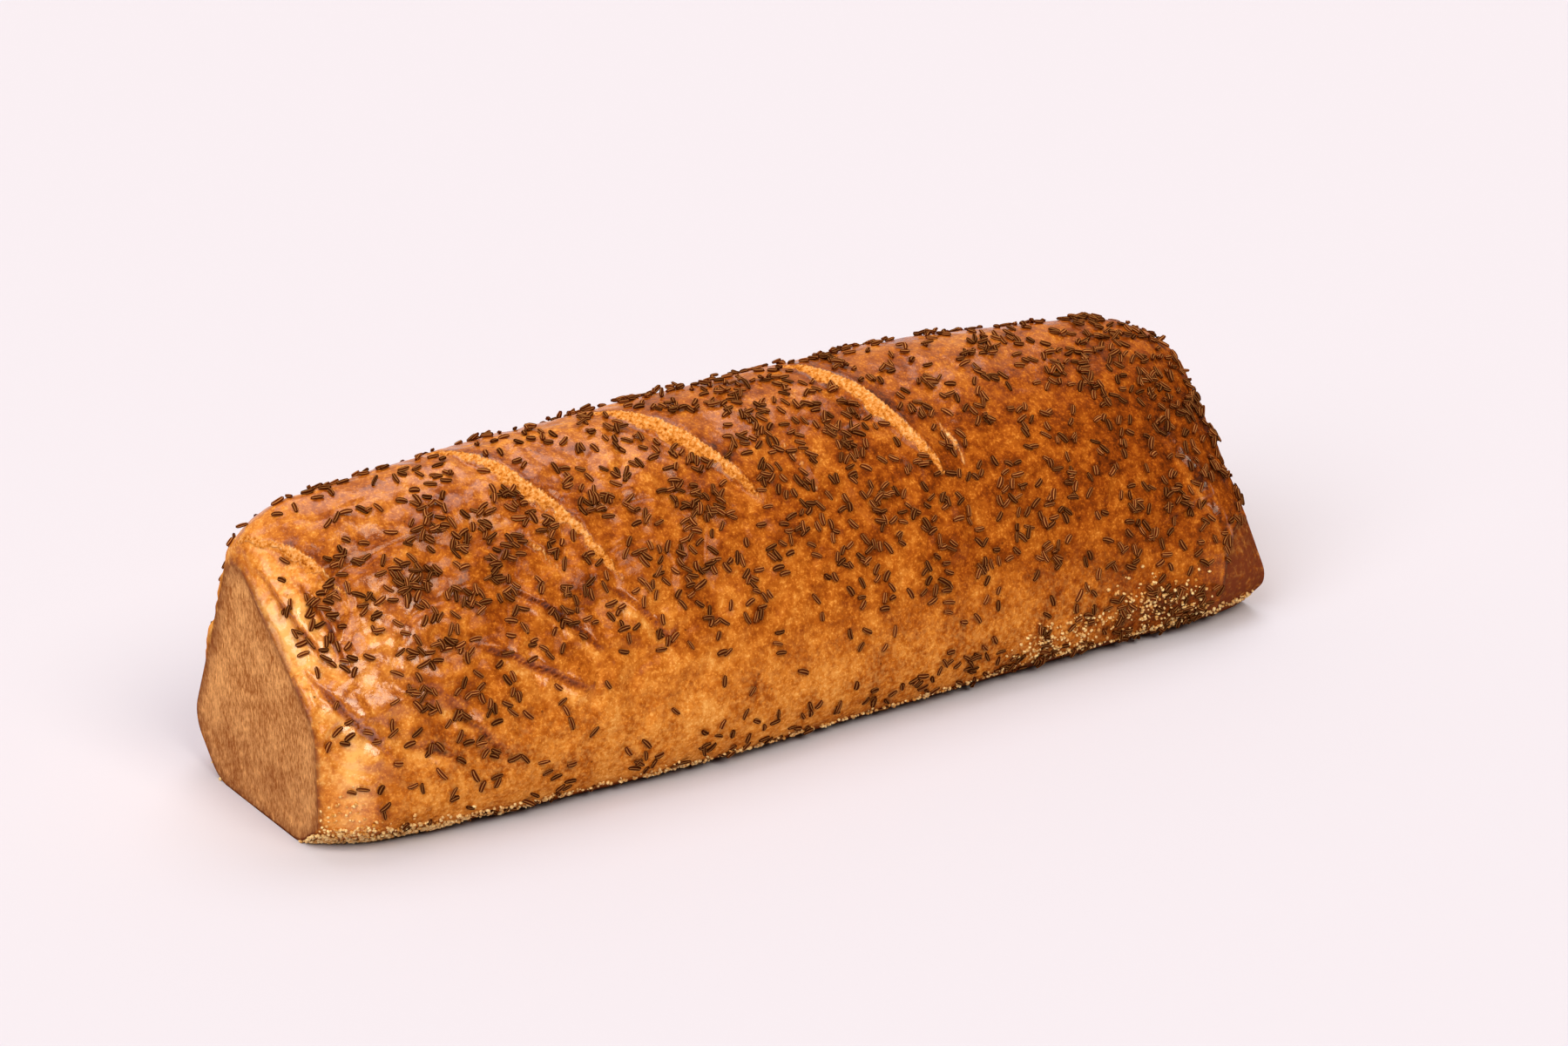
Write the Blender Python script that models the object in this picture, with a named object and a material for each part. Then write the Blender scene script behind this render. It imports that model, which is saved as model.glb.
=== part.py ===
"""Rye bread loaf with caraway seeds, as one closed solid. Sizes are in metres.

The loaf lies along X and rests on Z = 0, with its origin under its middle. Each cross
section is a flat base, a lower edge that tucks in, and a domed crown. The sections are
lofted from the flat end face at the left (-X) to the one at the right (+X), and the crust
is then pushed in and out along its normals to give the slashes, folds and swellings.

A place on the crust is given by x, the distance along the loaf, and girth, the distance
round the crust from the crown's ridge: positive down the near side (-Y), negative down
the far side (+Y).
"""

import math
import random
from typing import NamedTuple

import bmesh
import bpy
import numpy as np
from mathutils import Matrix, Vector, noise


class Section(NamedTuple):
    """One cross section of the loaf."""

    half_width: float
    height: float
    widest: float  # height of the widest point
    base: float  # half width of the flat base
    roundness: float  # exponent of the crown's superellipse, where 2 is an ellipse
    lean: float  # how far the crown leans over to the far side


class Furrow(NamedTuple):
    """A slash or a fold: a sloping floor with a raised lip along its right side."""

    start: tuple  # x and girth where it begins
    end: tuple  # x and girth where it runs out
    bow: float  # sideways swing of its middle, positive to the right
    gape: float  # width of the floor at its widest
    depth: float  # depth of the floor's left edge
    lip: float  # height of the lip on the right
    left_bank: float  # width over which the crust sinks to the floor
    right_bank: float  # width over which the lip falls back to the crust


class Bulge(NamedTuple):
    """A swelling of the crust, or a hollow where its height is negative."""

    x: float
    girth: float
    length: float
    width: float
    height: float


# Driving dimensions of the loaf
LENGTH = 0.380
MIDDLE = Section(0.0647, 0.1087, 0.0247, 0.048, 1.84, 0.0054)
LEFT = Section(0.0505, 0.1037, 0.0170, 0.027, 1.40, 0.0106)
RIGHT = Section(0.0672, 0.0950, 0.0190, 0.050, 1.42, 0.0024)
TAPER_EXPONENT = 2.37
LEAN_EXPONENT = 1.5

# Each end face is a flat patch: its corners as y, z and the radius that rounds them
LEFT_FACE = [
    (-0.0260, 0.0000, 0.012),
    (-0.0405, 0.0100, 0.008),
    (-0.0405, 0.0465, 0.014),
    (0.0130, 0.0920, 0.009),
    (0.0460, 0.0180, 0.012),
    (0.0300, 0.0000, 0.014),
]
RIGHT_FACE = [
    (-0.0500, 0.0000, 0.010),
    (-0.0635, 0.0140, 0.007),
    (-0.0490, 0.0350, 0.030),
    (0.0010, 0.0945, 0.016),
    (0.0560, 0.0160, 0.010),
    (0.0460, 0.0000, 0.010),
]
LEFT_SHOULDER = 0.87  # share of the half length where the crust begins to turn in
RIGHT_SHOULDER = 0.86
SHOULDER_TURN = 0.93  # sine of the angle through which the crust turns there

# A furrow opens from a point at its start to its full gape, and closes again
OPENING_EXPONENT = 0.7

# Slashes cut across the crown, from the left end to the right
SLASHES = [
    Furrow((-0.1885, -0.004), (-0.1660, 0.044), 0.0010, 0.0032, 0.0008, 0.0008, 0.005, 0.008),
    Furrow((-0.1145, -0.012), (-0.0745, 0.066), 0.0012, 0.0052, 0.0012, 0.0011, 0.006, 0.011),
    Furrow((-0.0545, -0.010), (-0.0150, 0.051), 0.0012, 0.0066, 0.0014, 0.0012, 0.006, 0.011),
    Furrow((0.0260, -0.009), (0.0590, 0.058), -0.0004, 0.0084, 0.0015, 0.0014, 0.006, 0.011),
]

# Folds pressed into the crust as the dough was shaped
FOLDS = [
    Furrow((-0.1870, 0.010), (-0.1790, 0.058), -0.0010, 0.0010, 0.0009, 0.0010, 0.004, 0.004),
    Furrow((-0.1860, 0.050), (-0.1665, 0.096), -0.0022, 0.0014, 0.0009, 0.0014, 0.004, 0.006),
    Furrow((-0.1610, 0.094), (-0.1450, 0.104), 0.0010, 0.0016, 0.0006, 0.0004, 0.005, 0.006),
    Furrow((-0.1330, 0.069), (-0.0930, 0.100), 0.0010, 0.0012, 0.0010, 0.0009, 0.006, 0.006),
    Furrow((0.1440, 0.088), (0.1700, 0.078), 0.0004, 0.0010, 0.0010, 0.0009, 0.006, 0.007),
    Furrow((0.0640, 0.036), (0.0680, 0.060), 0.0020, 0.0012, 0.0007, 0.0004, 0.004, 0.005),
    Furrow((0.0020, 0.032), (0.0070, 0.056), 0.0010, 0.0012, 0.0007, 0.0004, 0.004, 0.005),
    Furrow((-0.1060, 0.038), (-0.0940, 0.058), 0.0010, 0.0010, 0.0006, 0.0004, 0.004, 0.005),
    Furrow((-0.1500, -0.050), (-0.1150, -0.072), 0.0015, 0.0012, 0.0010, 0.0008, 0.006, 0.007),
    Furrow((0.0700, -0.066), (0.1150, -0.084), -0.0015, 0.0012, 0.0009, 0.0008, 0.006, 0.007),
]

BULGES = [
    Bulge(-0.1850, 0.000, 0.0040, 0.024, 0.0007),
    Bulge(-0.1886, 0.000, 0.0010, 0.012, -0.0009),
    Bulge(-0.157, 0.062, 0.018, 0.020, 0.0014),
    Bulge(-0.150, 0.100, 0.014, 0.012, -0.0008),
    Bulge(-0.112, 0.060, 0.014, 0.016, -0.0009),
    Bulge(0.160, 0.098, 0.012, 0.014, 0.0012),
    Bulge(0.020, 0.070, 0.022, 0.016, -0.0008),
    Bulge(0.110, 0.055, 0.024, 0.022, 0.0010),
    Bulge(-0.120, -0.050, 0.024, 0.022, 0.0012),
    Bulge(0.060, -0.060, 0.028, 0.020, -0.0010),
]

# Uneven rise of the dough: the length of each swell, and its height
SWELLS = [(0.045, 0.0008), (0.016, 0.0003)]

# Bare skirt below the fold that overhangs the right end: a parabola of x over the girth
SKIRT_X = 0.1665
SKIRT_GIRTH = 0.115
SKIRT_REACH = 0.035
SKIRT_SPREAD = 0.0165
SKIRT_DEPTH = 0.0009
SKIRT_EDGE = 0.0012

# The relief fades out towards the end faces and the base
END_FADE = 0.0015
BASE_FADE = 0.006

# Spacing of the fine grid, and the facets kept of it
STATIONS = 250
SHOULDER_STATIONS = 16
SIDE_STEPS = 74
BASE_STEPS = 6
BODY_TRIANGLES = 3400
SLIVER = 0.00001  # points nearer than this are one point

# Caraway seeds
SEED_COUNT = 160
SEED_SPACING = 0.0135
SEED_LENGTH = (0.0048, 0.0060)
SEED_WIDTH = 0.0016
SEED_BOW = 0.0005  # how far the ends of the crescent bend back from its middle
SEED_LIFT = 0.00025  # height of a seed's middle over the crust
SEED_SIDES = 5
SEED_RINGS = 4
SEED_LOW_EDGE = 0.005  # no seed's middle lies below this height
SEED_LOW_SIDE = 0.045  # under this height the seeds thin out
SEED_LOW_SHARE = 0.5
SEED_END_GAP = 0.010  # bare length of crust before each end face
RANDOM_SEED = 11

# Colour and finish of the crust
CRUST_COLOUR = (0.33, 0.125, 0.028, 1.0)
CRUST_ROUGHNESS = 0.45


def clear_scene():
    """Remove the objects that the opened file holds."""
    for item in list(bpy.data.objects):
        bpy.data.objects.remove(item)


def smooth_step(value):
    """Rise smoothly from 0 to 1 as the value goes from 0 to 1."""
    value = np.clip(value, 0.0, 1.0)
    return value * value * (3.0 - 2.0 * value)


def section_at(share):
    """The cross section at a share of the half length, from -1 at the left to 1."""
    end = LEFT if share < 0 else RIGHT
    weight = abs(share) ** TAPER_EXPONENT
    return Section(*(m + (e - m) * weight for m, e in zip(MIDDLE, end)))


def section_sides(section, steps=160):
    """The near side from the base to the crown, and the far side back down, as y and z."""
    angle = np.linspace(0.0, math.pi / 2, steps)
    power = 2.0 / section.roundness
    low_y = section.base + (section.half_width - section.base) * np.sin(angle)
    low_z = section.widest * (1.0 - np.cos(angle))
    high_y = section.half_width * np.abs(np.cos(angle)) ** power
    high_z = section.widest + (section.height - section.widest) * np.sin(angle) ** power
    y = np.concatenate([low_y, high_y[1:]])
    z = np.concatenate([low_z, high_z[1:]])
    lean = section.lean * (z / section.height) ** LEAN_EXPONENT
    near = np.stack([lean - y, z], axis=1)
    far = np.stack([lean + y, z], axis=1)
    return near, far[::-1]


def corner_arc(before, corner, after, radius, steps=14):
    """The arc that rounds one corner of an outline."""
    to_before = (before - corner) / np.linalg.norm(before - corner)
    to_after = (after - corner) / np.linalg.norm(after - corner)
    half_angle = math.acos(float(to_before @ to_after)) / 2
    inward = (to_before + to_after) / np.linalg.norm(to_before + to_after)
    centre = corner + inward * radius / math.sin(half_angle)
    first = corner + to_before * radius / math.tan(half_angle) - centre
    last = corner + to_after * radius / math.tan(half_angle) - centre
    begin = math.atan2(first[1], first[0])
    turn = (math.atan2(last[1], last[0]) - begin + math.pi) % math.tau - math.pi
    angle = begin + turn * np.linspace(0.0, 1.0, steps)
    return centre + radius * np.stack([np.cos(angle), np.sin(angle)], axis=1)


def face_sides(corners):
    """The outline of an end face, split at its peak into a near and a far side."""
    points = [np.array(corner[:2]) for corner in corners]
    arcs = []
    for index, corner in enumerate(corners):
        after = points[(index + 1) % len(points)]
        arcs.append(corner_arc(points[index - 1], points[index], after, corner[2]))
    outline = np.concatenate(arcs)
    peak = int(np.argmax(outline[:, 1]))
    return outline[: peak + 1], outline[peak:]


def spread(points, count):
    """Points spaced evenly along a line of points."""
    steps = np.linalg.norm(np.diff(points, axis=0), axis=1)
    distance = np.concatenate([[0.0], np.cumsum(steps)])
    wanted = np.linspace(0.0, distance[-1], count)
    return np.stack([np.interp(wanted, distance, points[:, i]) for i in (0, 1)], axis=1)


def ring(near, far):
    """A closed ring: from the middle of the base up the near side and down the far one."""
    middle = (near[:1] + far[-1:]) / 2
    near_base = spread(np.concatenate([middle, near[:1]]), BASE_STEPS + 1)[:-1]
    near_side = spread(near, SIDE_STEPS + 1)[:-1]
    far_side = spread(far, SIDE_STEPS + 1)
    far_base = spread(np.concatenate([far[-1:], middle]), BASE_STEPS + 1)[1:-1]
    return np.concatenate([near_base, near_side, far_side, far_base])


def shoulder_rings(side, shoulder, corners):
    """The rings of one shoulder, which turn in from the crust to the end face."""
    face = ring(*face_sides(corners))
    full_turn = math.asin(SHOULDER_TURN)
    rings = []
    for angle in np.linspace(0.0, full_turn, SHOULDER_STATIONS + 1)[1:]:
        share = shoulder + (1.0 - shoulder) * math.sin(angle) / SHOULDER_TURN
        turned = (1.0 - math.cos(angle)) / (1.0 - math.cos(full_turn))
        own = ring(*section_sides(section_at(side * share)))
        rings.append((side * share, own * (1.0 - turned) + face * turned))
    return rings


def plain_surface():
    """The crust without relief: an array of rings of points."""
    left = shoulder_rings(-1, LEFT_SHOULDER, LEFT_FACE)[::-1]
    right = shoulder_rings(1, RIGHT_SHOULDER, RIGHT_FACE)
    between = np.linspace(-LEFT_SHOULDER, RIGHT_SHOULDER, STATIONS)
    middle = [(share, ring(*section_sides(section_at(share)))) for share in between]
    rows = []
    for share, outline in left + middle + right:
        x = np.full((len(outline), 1), share * LENGTH / 2)
        rows.append(np.concatenate([x, outline], axis=1))
    return np.array(rows)


def girth_of(surface):
    """The girth of every point: its distance round its ring from the crown's ridge."""
    crown = BASE_STEPS + SIDE_STEPS
    steps = np.linalg.norm(np.diff(surface, axis=1), axis=2)
    distance = np.concatenate([np.zeros((len(surface), 1)), np.cumsum(steps, axis=1)], axis=1)
    return distance[:, crown : crown + 1] - distance


def normals_of(surface):
    """Unit normals of the rings' points, facing out."""
    along = np.gradient(surface, axis=0)
    around = np.roll(surface, -1, axis=1) - np.roll(surface, 1, axis=1)
    normal = np.cross(along, around)
    return normal / np.linalg.norm(normal, axis=2, keepdims=True)


def furrow_place(furrow, x, girth):
    """How far along a furrow each place is, from 0 to 1, and how far to its right."""
    start = np.array(furrow.start)
    run = np.array(furrow.end) - start
    length = np.linalg.norm(run)
    direction = run / length
    along = ((x - start[0]) * direction[0] + (girth - start[1]) * direction[1]) / length
    across = (x - start[0]) * direction[1] - (girth - start[1]) * direction[0]
    return along, across - furrow.bow * 4.0 * along * (1.0 - along)


def furrow_relief(furrow, x, girth):
    """Height of a slash or a fold over the plain crust."""
    along, across = furrow_place(furrow, x, girth)
    opening = np.sin(math.pi * np.clip(along, 0.0, 1.0)) ** OPENING_EXPONENT
    half_gape = np.maximum(furrow.gape / 2 * opening, SLIVER)
    bank = -furrow.depth * smooth_step(1.0 + (across + half_gape) / furrow.left_bank)
    climb = (across + half_gape) / (2.0 * half_gape)
    floor = -furrow.depth + (furrow.depth + furrow.lip) * climb
    fall = furrow.lip * (1.0 - smooth_step((across - half_gape) / furrow.right_bank))
    profile = np.where(across < -half_gape, bank, np.where(across < half_gape, floor, fall))
    return profile * opening


def bulge_relief(bulge, x, girth):
    """Height of a swelling over the plain crust."""
    off = ((x - bulge.x) / bulge.length) ** 2 + ((girth - bulge.girth) / bulge.width) ** 2
    return bulge.height * np.exp(-off)


def skirt_relief(x, girth):
    """Step down from the crust to the bare skirt at the right end."""
    edge = SKIRT_X + SKIRT_SPREAD * ((girth - SKIRT_GIRTH) / SKIRT_REACH) ** 2
    return -SKIRT_DEPTH * smooth_step((x - edge) / SKIRT_EDGE)


def swell_relief(surface):
    """Uneven rise of the dough, from smooth noise."""
    height = np.zeros(surface.shape[:2])
    for index in np.ndindex(height.shape):
        place = Vector(surface[index])
        height[index] = sum(high * noise.noise(place / wide) for wide, high in SWELLS)
    return height


def relief(surface, girth):
    """Height of the whole relief over the plain crust."""
    x = surface[:, :, 0]
    height = swell_relief(surface) + skirt_relief(x, girth)
    for furrow in SLASHES + FOLDS:
        height += furrow_relief(furrow, x, girth)
    for bulge in BULGES:
        height += bulge_relief(bulge, x, girth)
    from_end = smooth_step((LENGTH / 2 - np.abs(x)) / END_FADE)
    from_base = smooth_step(surface[:, :, 2] / BASE_FADE)
    return height * from_end * from_base


def crust_surface():
    """The crust with its relief, and the girth of every point."""
    surface = plain_surface()
    girth = girth_of(surface)
    height = relief(surface, girth)
    return surface + normals_of(surface) * height[:, :, None], girth


def crust_mesh(surface):
    """A closed mesh through the rings, with an end face at each end."""
    shell = bmesh.new()
    rings = [[shell.verts.new(point) for point in row] for row in surface]
    for first, second in zip(rings, rings[1:]):
        for index in range(len(first)):
            follow = (index + 1) % len(first)
            corners = (first[index], second[index], second[follow], first[follow])
            shell.faces.new(corners)
    shell.faces.new(rings[0])
    shell.faces.new(rings[-1][::-1])
    bmesh.ops.recalc_face_normals(shell, faces=shell.faces)
    mesh = bpy.data.meshes.new("loaf")
    shell.to_mesh(mesh)
    shell.free()
    return mesh


def new_object(name, mesh, collection):
    """An object of a mesh, linked to a collection."""
    item = bpy.data.objects.new(name, mesh)
    collection.objects.link(item)
    return item


def apply_modifiers(item):
    """Replace an object's mesh by the one that its modifiers make of it."""
    graph = bpy.context.evaluated_depsgraph_get()
    mesh = bpy.data.meshes.new_from_object(item.evaluated_get(graph))
    item.modifiers.clear()
    item.data = mesh


def thin_facets(loaf):
    """Keep the facets that carry the shape, and lay the base flat again."""
    thin = loaf.modifiers.new("thin facets", "DECIMATE")
    loaf.data.calc_loop_triangles()
    thin.ratio = BODY_TRIANGLES / len(loaf.data.loop_triangles)
    apply_modifiers(loaf)
    for vertex in loaf.data.vertices:
        if vertex.co.z < SLIVER:
            vertex.co.z = 0.0


def seed_mesh(length):
    """One caraway seed: a bent spindle along X, with its back up."""
    shape = bmesh.new()
    bmesh.ops.create_uvsphere(shape, u_segments=SEED_SIDES, v_segments=SEED_RINGS, radius=0.5)
    for vertex in shape.verts:
        across, up, along = vertex.co
        bend = SEED_BOW * (2.0 * along) ** 2
        vertex.co = (along * length, across * SEED_WIDTH + bend, up * SEED_WIDTH)
    bmesh.ops.recalc_face_normals(shape, faces=shape.faces)
    mesh = bpy.data.meshes.new("seed")
    shape.to_mesh(mesh)
    shape.free()
    return mesh


def on_slash(x, girth):
    """Whether a place lies on a slash's open floor or at its edge."""
    for slash in SLASHES:
        along, across = furrow_place(slash, x, girth)
        if 0.0 < along < 1.0 and abs(across) < slash.gape / 2 + SEED_WIDTH:
            return True
    return False


def takes_seed(place, girth, draw):
    """Whether a seed may lie here: none at the ends, on a slash or at the base."""
    if abs(place.x) > LENGTH / 2 - SEED_END_GAP or place.z < SEED_LOW_EDGE:
        return False
    if on_slash(place.x, girth):
        return False
    return place.z > SEED_LOW_SIDE or draw.random() < SEED_LOW_SHARE


def seed_places(surface, girth):
    """Row and column of the grid points under the seeds, spread evenly over the crust."""
    draw = random.Random(RANDOM_SEED)
    candidates = list(np.ndindex(girth.shape))
    draw.shuffle(candidates)
    chosen = []
    kept = []
    for index in candidates:
        place = Vector(surface[index])
        if len(chosen) == SEED_COUNT:
            break
        if not takes_seed(place, girth[index], draw):
            continue
        if all((place - other).length > SEED_SPACING for other in kept):
            chosen.append(index)
            kept.append(place)
    return chosen


def lay_seeds(surface, girth, collection):
    """Lay a seed at every place, turned by chance, with its belly in the crust."""
    draw = random.Random(RANDOM_SEED)
    normals = normals_of(surface)
    for number, index in enumerate(seed_places(surface, girth)):
        seed = new_object(f"seed_{number:03d}", seed_mesh(draw.uniform(*SEED_LENGTH)), collection)
        up = Vector(normals[index])
        spin = Matrix.Rotation(draw.uniform(0.0, math.tau), 4, "Z")
        stand = up.to_track_quat("Z", "Y").to_matrix().to_4x4()
        place = Vector(surface[index]) + up * SEED_LIFT
        seed.matrix_world = Matrix.Translation(place) @ stand @ spin


def fuse_seeds(loaf, collection):
    """Join the seeds to the loaf as one solid, and remove their objects."""
    union = loaf.modifiers.new("fuse seeds", "BOOLEAN")
    union.operation = "UNION"
    union.solver = "EXACT"
    union.operand_type = "COLLECTION"
    union.collection = collection
    bpy.context.view_layer.update()
    apply_modifiers(loaf)
    for seed in list(collection.objects):
        bpy.data.objects.remove(seed)
    bpy.data.collections.remove(collection)


def weld_slivers(loaf):
    """Merge the points that lie closer together than any real edge."""
    shape = bmesh.new()
    shape.from_mesh(loaf.data)
    bmesh.ops.remove_doubles(shape, verts=shape.verts, dist=SLIVER)
    bmesh.ops.dissolve_degenerate(shape, edges=shape.edges, dist=SLIVER)
    bmesh.ops.triangulate(shape, faces=shape.faces)
    shape.to_mesh(loaf.data)
    shape.free()


def crust_material():
    """Baked rye crust with a thin starch glaze."""
    material = bpy.data.materials.new("crust")
    material.use_nodes = True
    surface = material.node_tree.nodes["Principled BSDF"]
    surface.inputs["Base Color"].default_value = CRUST_COLOUR
    surface.inputs["Roughness"].default_value = CRUST_ROUGHNESS
    surface.inputs["Metallic"].default_value = 0.0
    return material


def build_loaf():
    """The whole loaf: crust, slashes, folds and fused seeds."""
    surface, girth = crust_surface()
    loaf = new_object("loaf", crust_mesh(surface), bpy.context.scene.collection)
    thin_facets(loaf)
    seeds = bpy.data.collections.new("seeds")
    bpy.context.scene.collection.children.link(seeds)
    lay_seeds(surface, girth, seeds)
    fuse_seeds(loaf, seeds)
    weld_slivers(loaf)
    loaf.data.materials.clear()
    loaf.data.materials.append(crust_material())


def main():
    clear_scene()
    build_loaf()


if __name__ == "__main__":
    main()
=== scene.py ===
"""Rye bread loaf with caraway seeds, dressed for a studio picture. Sizes are in metres.

The crust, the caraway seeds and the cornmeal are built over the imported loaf, which lies
along X and rests on Z = 0. A place on the crust is given by x, the distance along the loaf,
and girth, the distance round the crust from the crown's ridge: positive down the near side
(-Y), negative down the far side (+Y).
"""

import math
from functools import partial
from itertools import product
from typing import NamedTuple

import bpy
import numpy as np
from bpy.props import FloatProperty, FloatVectorProperty, IntProperty, PointerProperty
from mathutils import Matrix, Vector, kdtree, noise


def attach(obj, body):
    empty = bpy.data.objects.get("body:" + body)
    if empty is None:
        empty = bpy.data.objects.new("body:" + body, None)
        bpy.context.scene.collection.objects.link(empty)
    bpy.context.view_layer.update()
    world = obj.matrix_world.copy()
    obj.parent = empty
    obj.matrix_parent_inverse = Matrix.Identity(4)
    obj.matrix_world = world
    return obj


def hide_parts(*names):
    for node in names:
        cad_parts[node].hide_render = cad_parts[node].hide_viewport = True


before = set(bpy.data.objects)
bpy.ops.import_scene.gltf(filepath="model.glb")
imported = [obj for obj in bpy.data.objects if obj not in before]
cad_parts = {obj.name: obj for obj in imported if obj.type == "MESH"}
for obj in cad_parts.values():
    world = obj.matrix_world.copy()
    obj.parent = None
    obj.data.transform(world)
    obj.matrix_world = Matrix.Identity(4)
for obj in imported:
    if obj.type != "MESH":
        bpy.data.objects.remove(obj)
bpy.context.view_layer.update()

bl_info = {
    "name": "Caraway rye loaf",
    "version": (1, 0, 0),
    "blender": (4, 5, 0),
    "location": "View3D > Sidebar > Loaf",
    "description": "Crust, caraway seeds, cornmeal and studio floor of a rye bread loaf",
    "category": "Object",
}


class Section(NamedTuple):
    """One cross section of the loaf."""

    half_width: float
    height: float
    widest: float  # height of the widest point
    base: float  # half width of the flat base
    roundness: float  # exponent of the crown's superellipse, where 2 is an ellipse
    lean: float  # how far the crown leans over to the far side


class Furrow(NamedTuple):
    """A slash or a fold: a sloping floor with a raised lip along its right side."""

    start: tuple  # x and girth where it begins
    end: tuple  # x and girth where it runs out
    bow: float  # sideways swing of its middle, positive to the right
    gape: float  # width of the floor at its widest
    depth: float  # depth of the floor's left edge
    lip: float  # height of the lip on the right
    left_bank: float  # width over which the crust sinks to the floor
    right_bank: float  # width over which the lip falls back to the crust


class Course(NamedTuple):
    """Where places on the crust lie beside a furrow."""

    along: np.ndarray  # from 0 at its start to 1 at its end
    across: np.ndarray  # distance to the right of its middle
    opening: np.ndarray  # how wide it gapes there, from 0 to 1


class Patch(NamedTuple):
    """A soft-edged oval on the crust, and how much of something it adds there."""

    x: float
    girth: float
    length: float
    width: float
    amount: float


# The loaf's form
LENGTH = 0.380
MIDDLE = Section(0.0647, 0.1087, 0.0247, 0.048, 1.84, 0.0054)
LEFT = Section(0.0505, 0.1037, 0.0170, 0.027, 1.40, 0.0106)
RIGHT = Section(0.0672, 0.0950, 0.0190, 0.050, 1.42, 0.0024)
TAPER_EXPONENT = 2.37
LEAN_EXPONENT = 1.5
LEFT_FACE = [
    (-0.0260, 0.0000, 0.012),
    (-0.0405, 0.0100, 0.008),
    (-0.0405, 0.0465, 0.014),
    (0.0130, 0.0920, 0.009),
    (0.0460, 0.0180, 0.012),
    (0.0300, 0.0000, 0.014),
]
RIGHT_FACE = [
    (-0.0500, 0.0000, 0.010),
    (-0.0635, 0.0140, 0.007),
    (-0.0490, 0.0350, 0.030),
    (0.0010, 0.0945, 0.016),
    (0.0560, 0.0160, 0.010),
    (0.0460, 0.0000, 0.010),
]
LEFT_SHOULDER = 0.87  # share of the half length where the crust begins to turn in
RIGHT_SHOULDER = 0.86
SHOULDER_TURN = 0.93  # sine of the angle through which the crust turns there

# Slashes cut across the crown, and folds pressed into the crust as the dough was shaped
OPENING_EXPONENT = 0.7
SLASHES = [
    Furrow((-0.1885, -0.004), (-0.1660, 0.044), 0.0010, 0.0032, 0.0008, 0.0008, 0.005, 0.008),
    Furrow((-0.1145, -0.012), (-0.0745, 0.066), 0.0012, 0.0052, 0.0012, 0.0011, 0.006, 0.011),
    Furrow((-0.0545, -0.010), (-0.0150, 0.051), 0.0012, 0.0066, 0.0014, 0.0012, 0.006, 0.011),
    Furrow((0.0260, -0.009), (0.0590, 0.058), -0.0004, 0.0084, 0.0015, 0.0014, 0.006, 0.011),
]
FOLDS = [
    Furrow((-0.1870, 0.010), (-0.1790, 0.058), -0.0010, 0.0010, 0.0009, 0.0010, 0.004, 0.004),
    Furrow((-0.1860, 0.050), (-0.1665, 0.096), -0.0022, 0.0014, 0.0009, 0.0014, 0.004, 0.006),
    Furrow((-0.1610, 0.094), (-0.1450, 0.104), 0.0010, 0.0016, 0.0006, 0.0004, 0.005, 0.006),
    Furrow((-0.1330, 0.069), (-0.0930, 0.100), 0.0010, 0.0012, 0.0010, 0.0009, 0.006, 0.006),
    Furrow((0.1440, 0.088), (0.1700, 0.078), 0.0004, 0.0010, 0.0010, 0.0009, 0.006, 0.007),
    Furrow((0.0640, 0.036), (0.0680, 0.060), 0.0020, 0.0012, 0.0007, 0.0004, 0.004, 0.005),
    Furrow((0.0020, 0.032), (0.0070, 0.056), 0.0010, 0.0012, 0.0007, 0.0004, 0.004, 0.005),
    Furrow((-0.1060, 0.038), (-0.0940, 0.058), 0.0010, 0.0010, 0.0006, 0.0004, 0.004, 0.005),
    Furrow((-0.1500, -0.050), (-0.1150, -0.072), 0.0015, 0.0012, 0.0010, 0.0008, 0.006, 0.007),
    Furrow((0.0700, -0.066), (0.1150, -0.084), -0.0015, 0.0012, 0.0009, 0.0008, 0.006, 0.007),
]
CREASED = [  # fainter folds beside them
    Furrow((0.1560, 0.048), (0.1740, 0.104), 0.0016, 0.0012, 0.0007, 0.0009, 0.004, 0.004),
    Furrow((-0.1180, 0.052), (-0.0860, 0.090), 0.0020, 0.0010, 0.0007, 0.0006, 0.004, 0.004),
    Furrow((-0.1480, 0.078), (-0.1240, 0.112), -0.0016, 0.0010, 0.0006, 0.0006, 0.004, 0.004),
    Furrow((-0.0820, 0.064), (-0.0600, 0.096), 0.0016, 0.0010, 0.0006, 0.0006, 0.004, 0.004),
    Furrow((-0.1800, 0.022), (-0.1735, 0.066), 0.0008, 0.0010, 0.0006, 0.0007, 0.003, 0.003),
]
FOLD_SHARPNESS = 1.4  # how much more a fold stands out than its own depth and lip say
FOLD_SWAY = 0.6  # how much a fold wanders, as a share of how much a slash does
TEARS = FOLDS[5:8]  # small tears beside the slashes, open enough to show crumb
BULGES = [
    Patch(-0.1850, 0.000, 0.0040, 0.024, 0.0007),
    Patch(-0.1886, 0.000, 0.0010, 0.012, -0.0009),
    Patch(-0.157, 0.062, 0.018, 0.020, 0.0014),
    Patch(-0.150, 0.100, 0.014, 0.012, -0.0008),
    Patch(-0.112, 0.060, 0.014, 0.016, -0.0009),
    Patch(0.160, 0.098, 0.012, 0.014, 0.0012),
    Patch(0.020, 0.070, 0.022, 0.016, -0.0008),
    Patch(0.110, 0.055, 0.024, 0.022, 0.0010),
    Patch(-0.120, -0.050, 0.024, 0.022, 0.0012),
    Patch(0.060, -0.060, 0.028, 0.020, -0.0010),
]
SWELLS = [(0.045, 0.0008), (0.016, 0.0003)]  # length of each swell of the dough, and height
LUMPS = [(0.0120, 0.00085), (0.0060, 0.00060), (0.0030, 0.00018)]  # the same for blisters
CREASES = (0.020, 0.050, 0.00040)  # length of the mesh of fine creases, their width and depth
LUMPS_LOW = 0.30  # share of the lumps and creases low on the sides
LUMPS_LEFT = 0.80  # how much stronger they are at the left end
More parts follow.
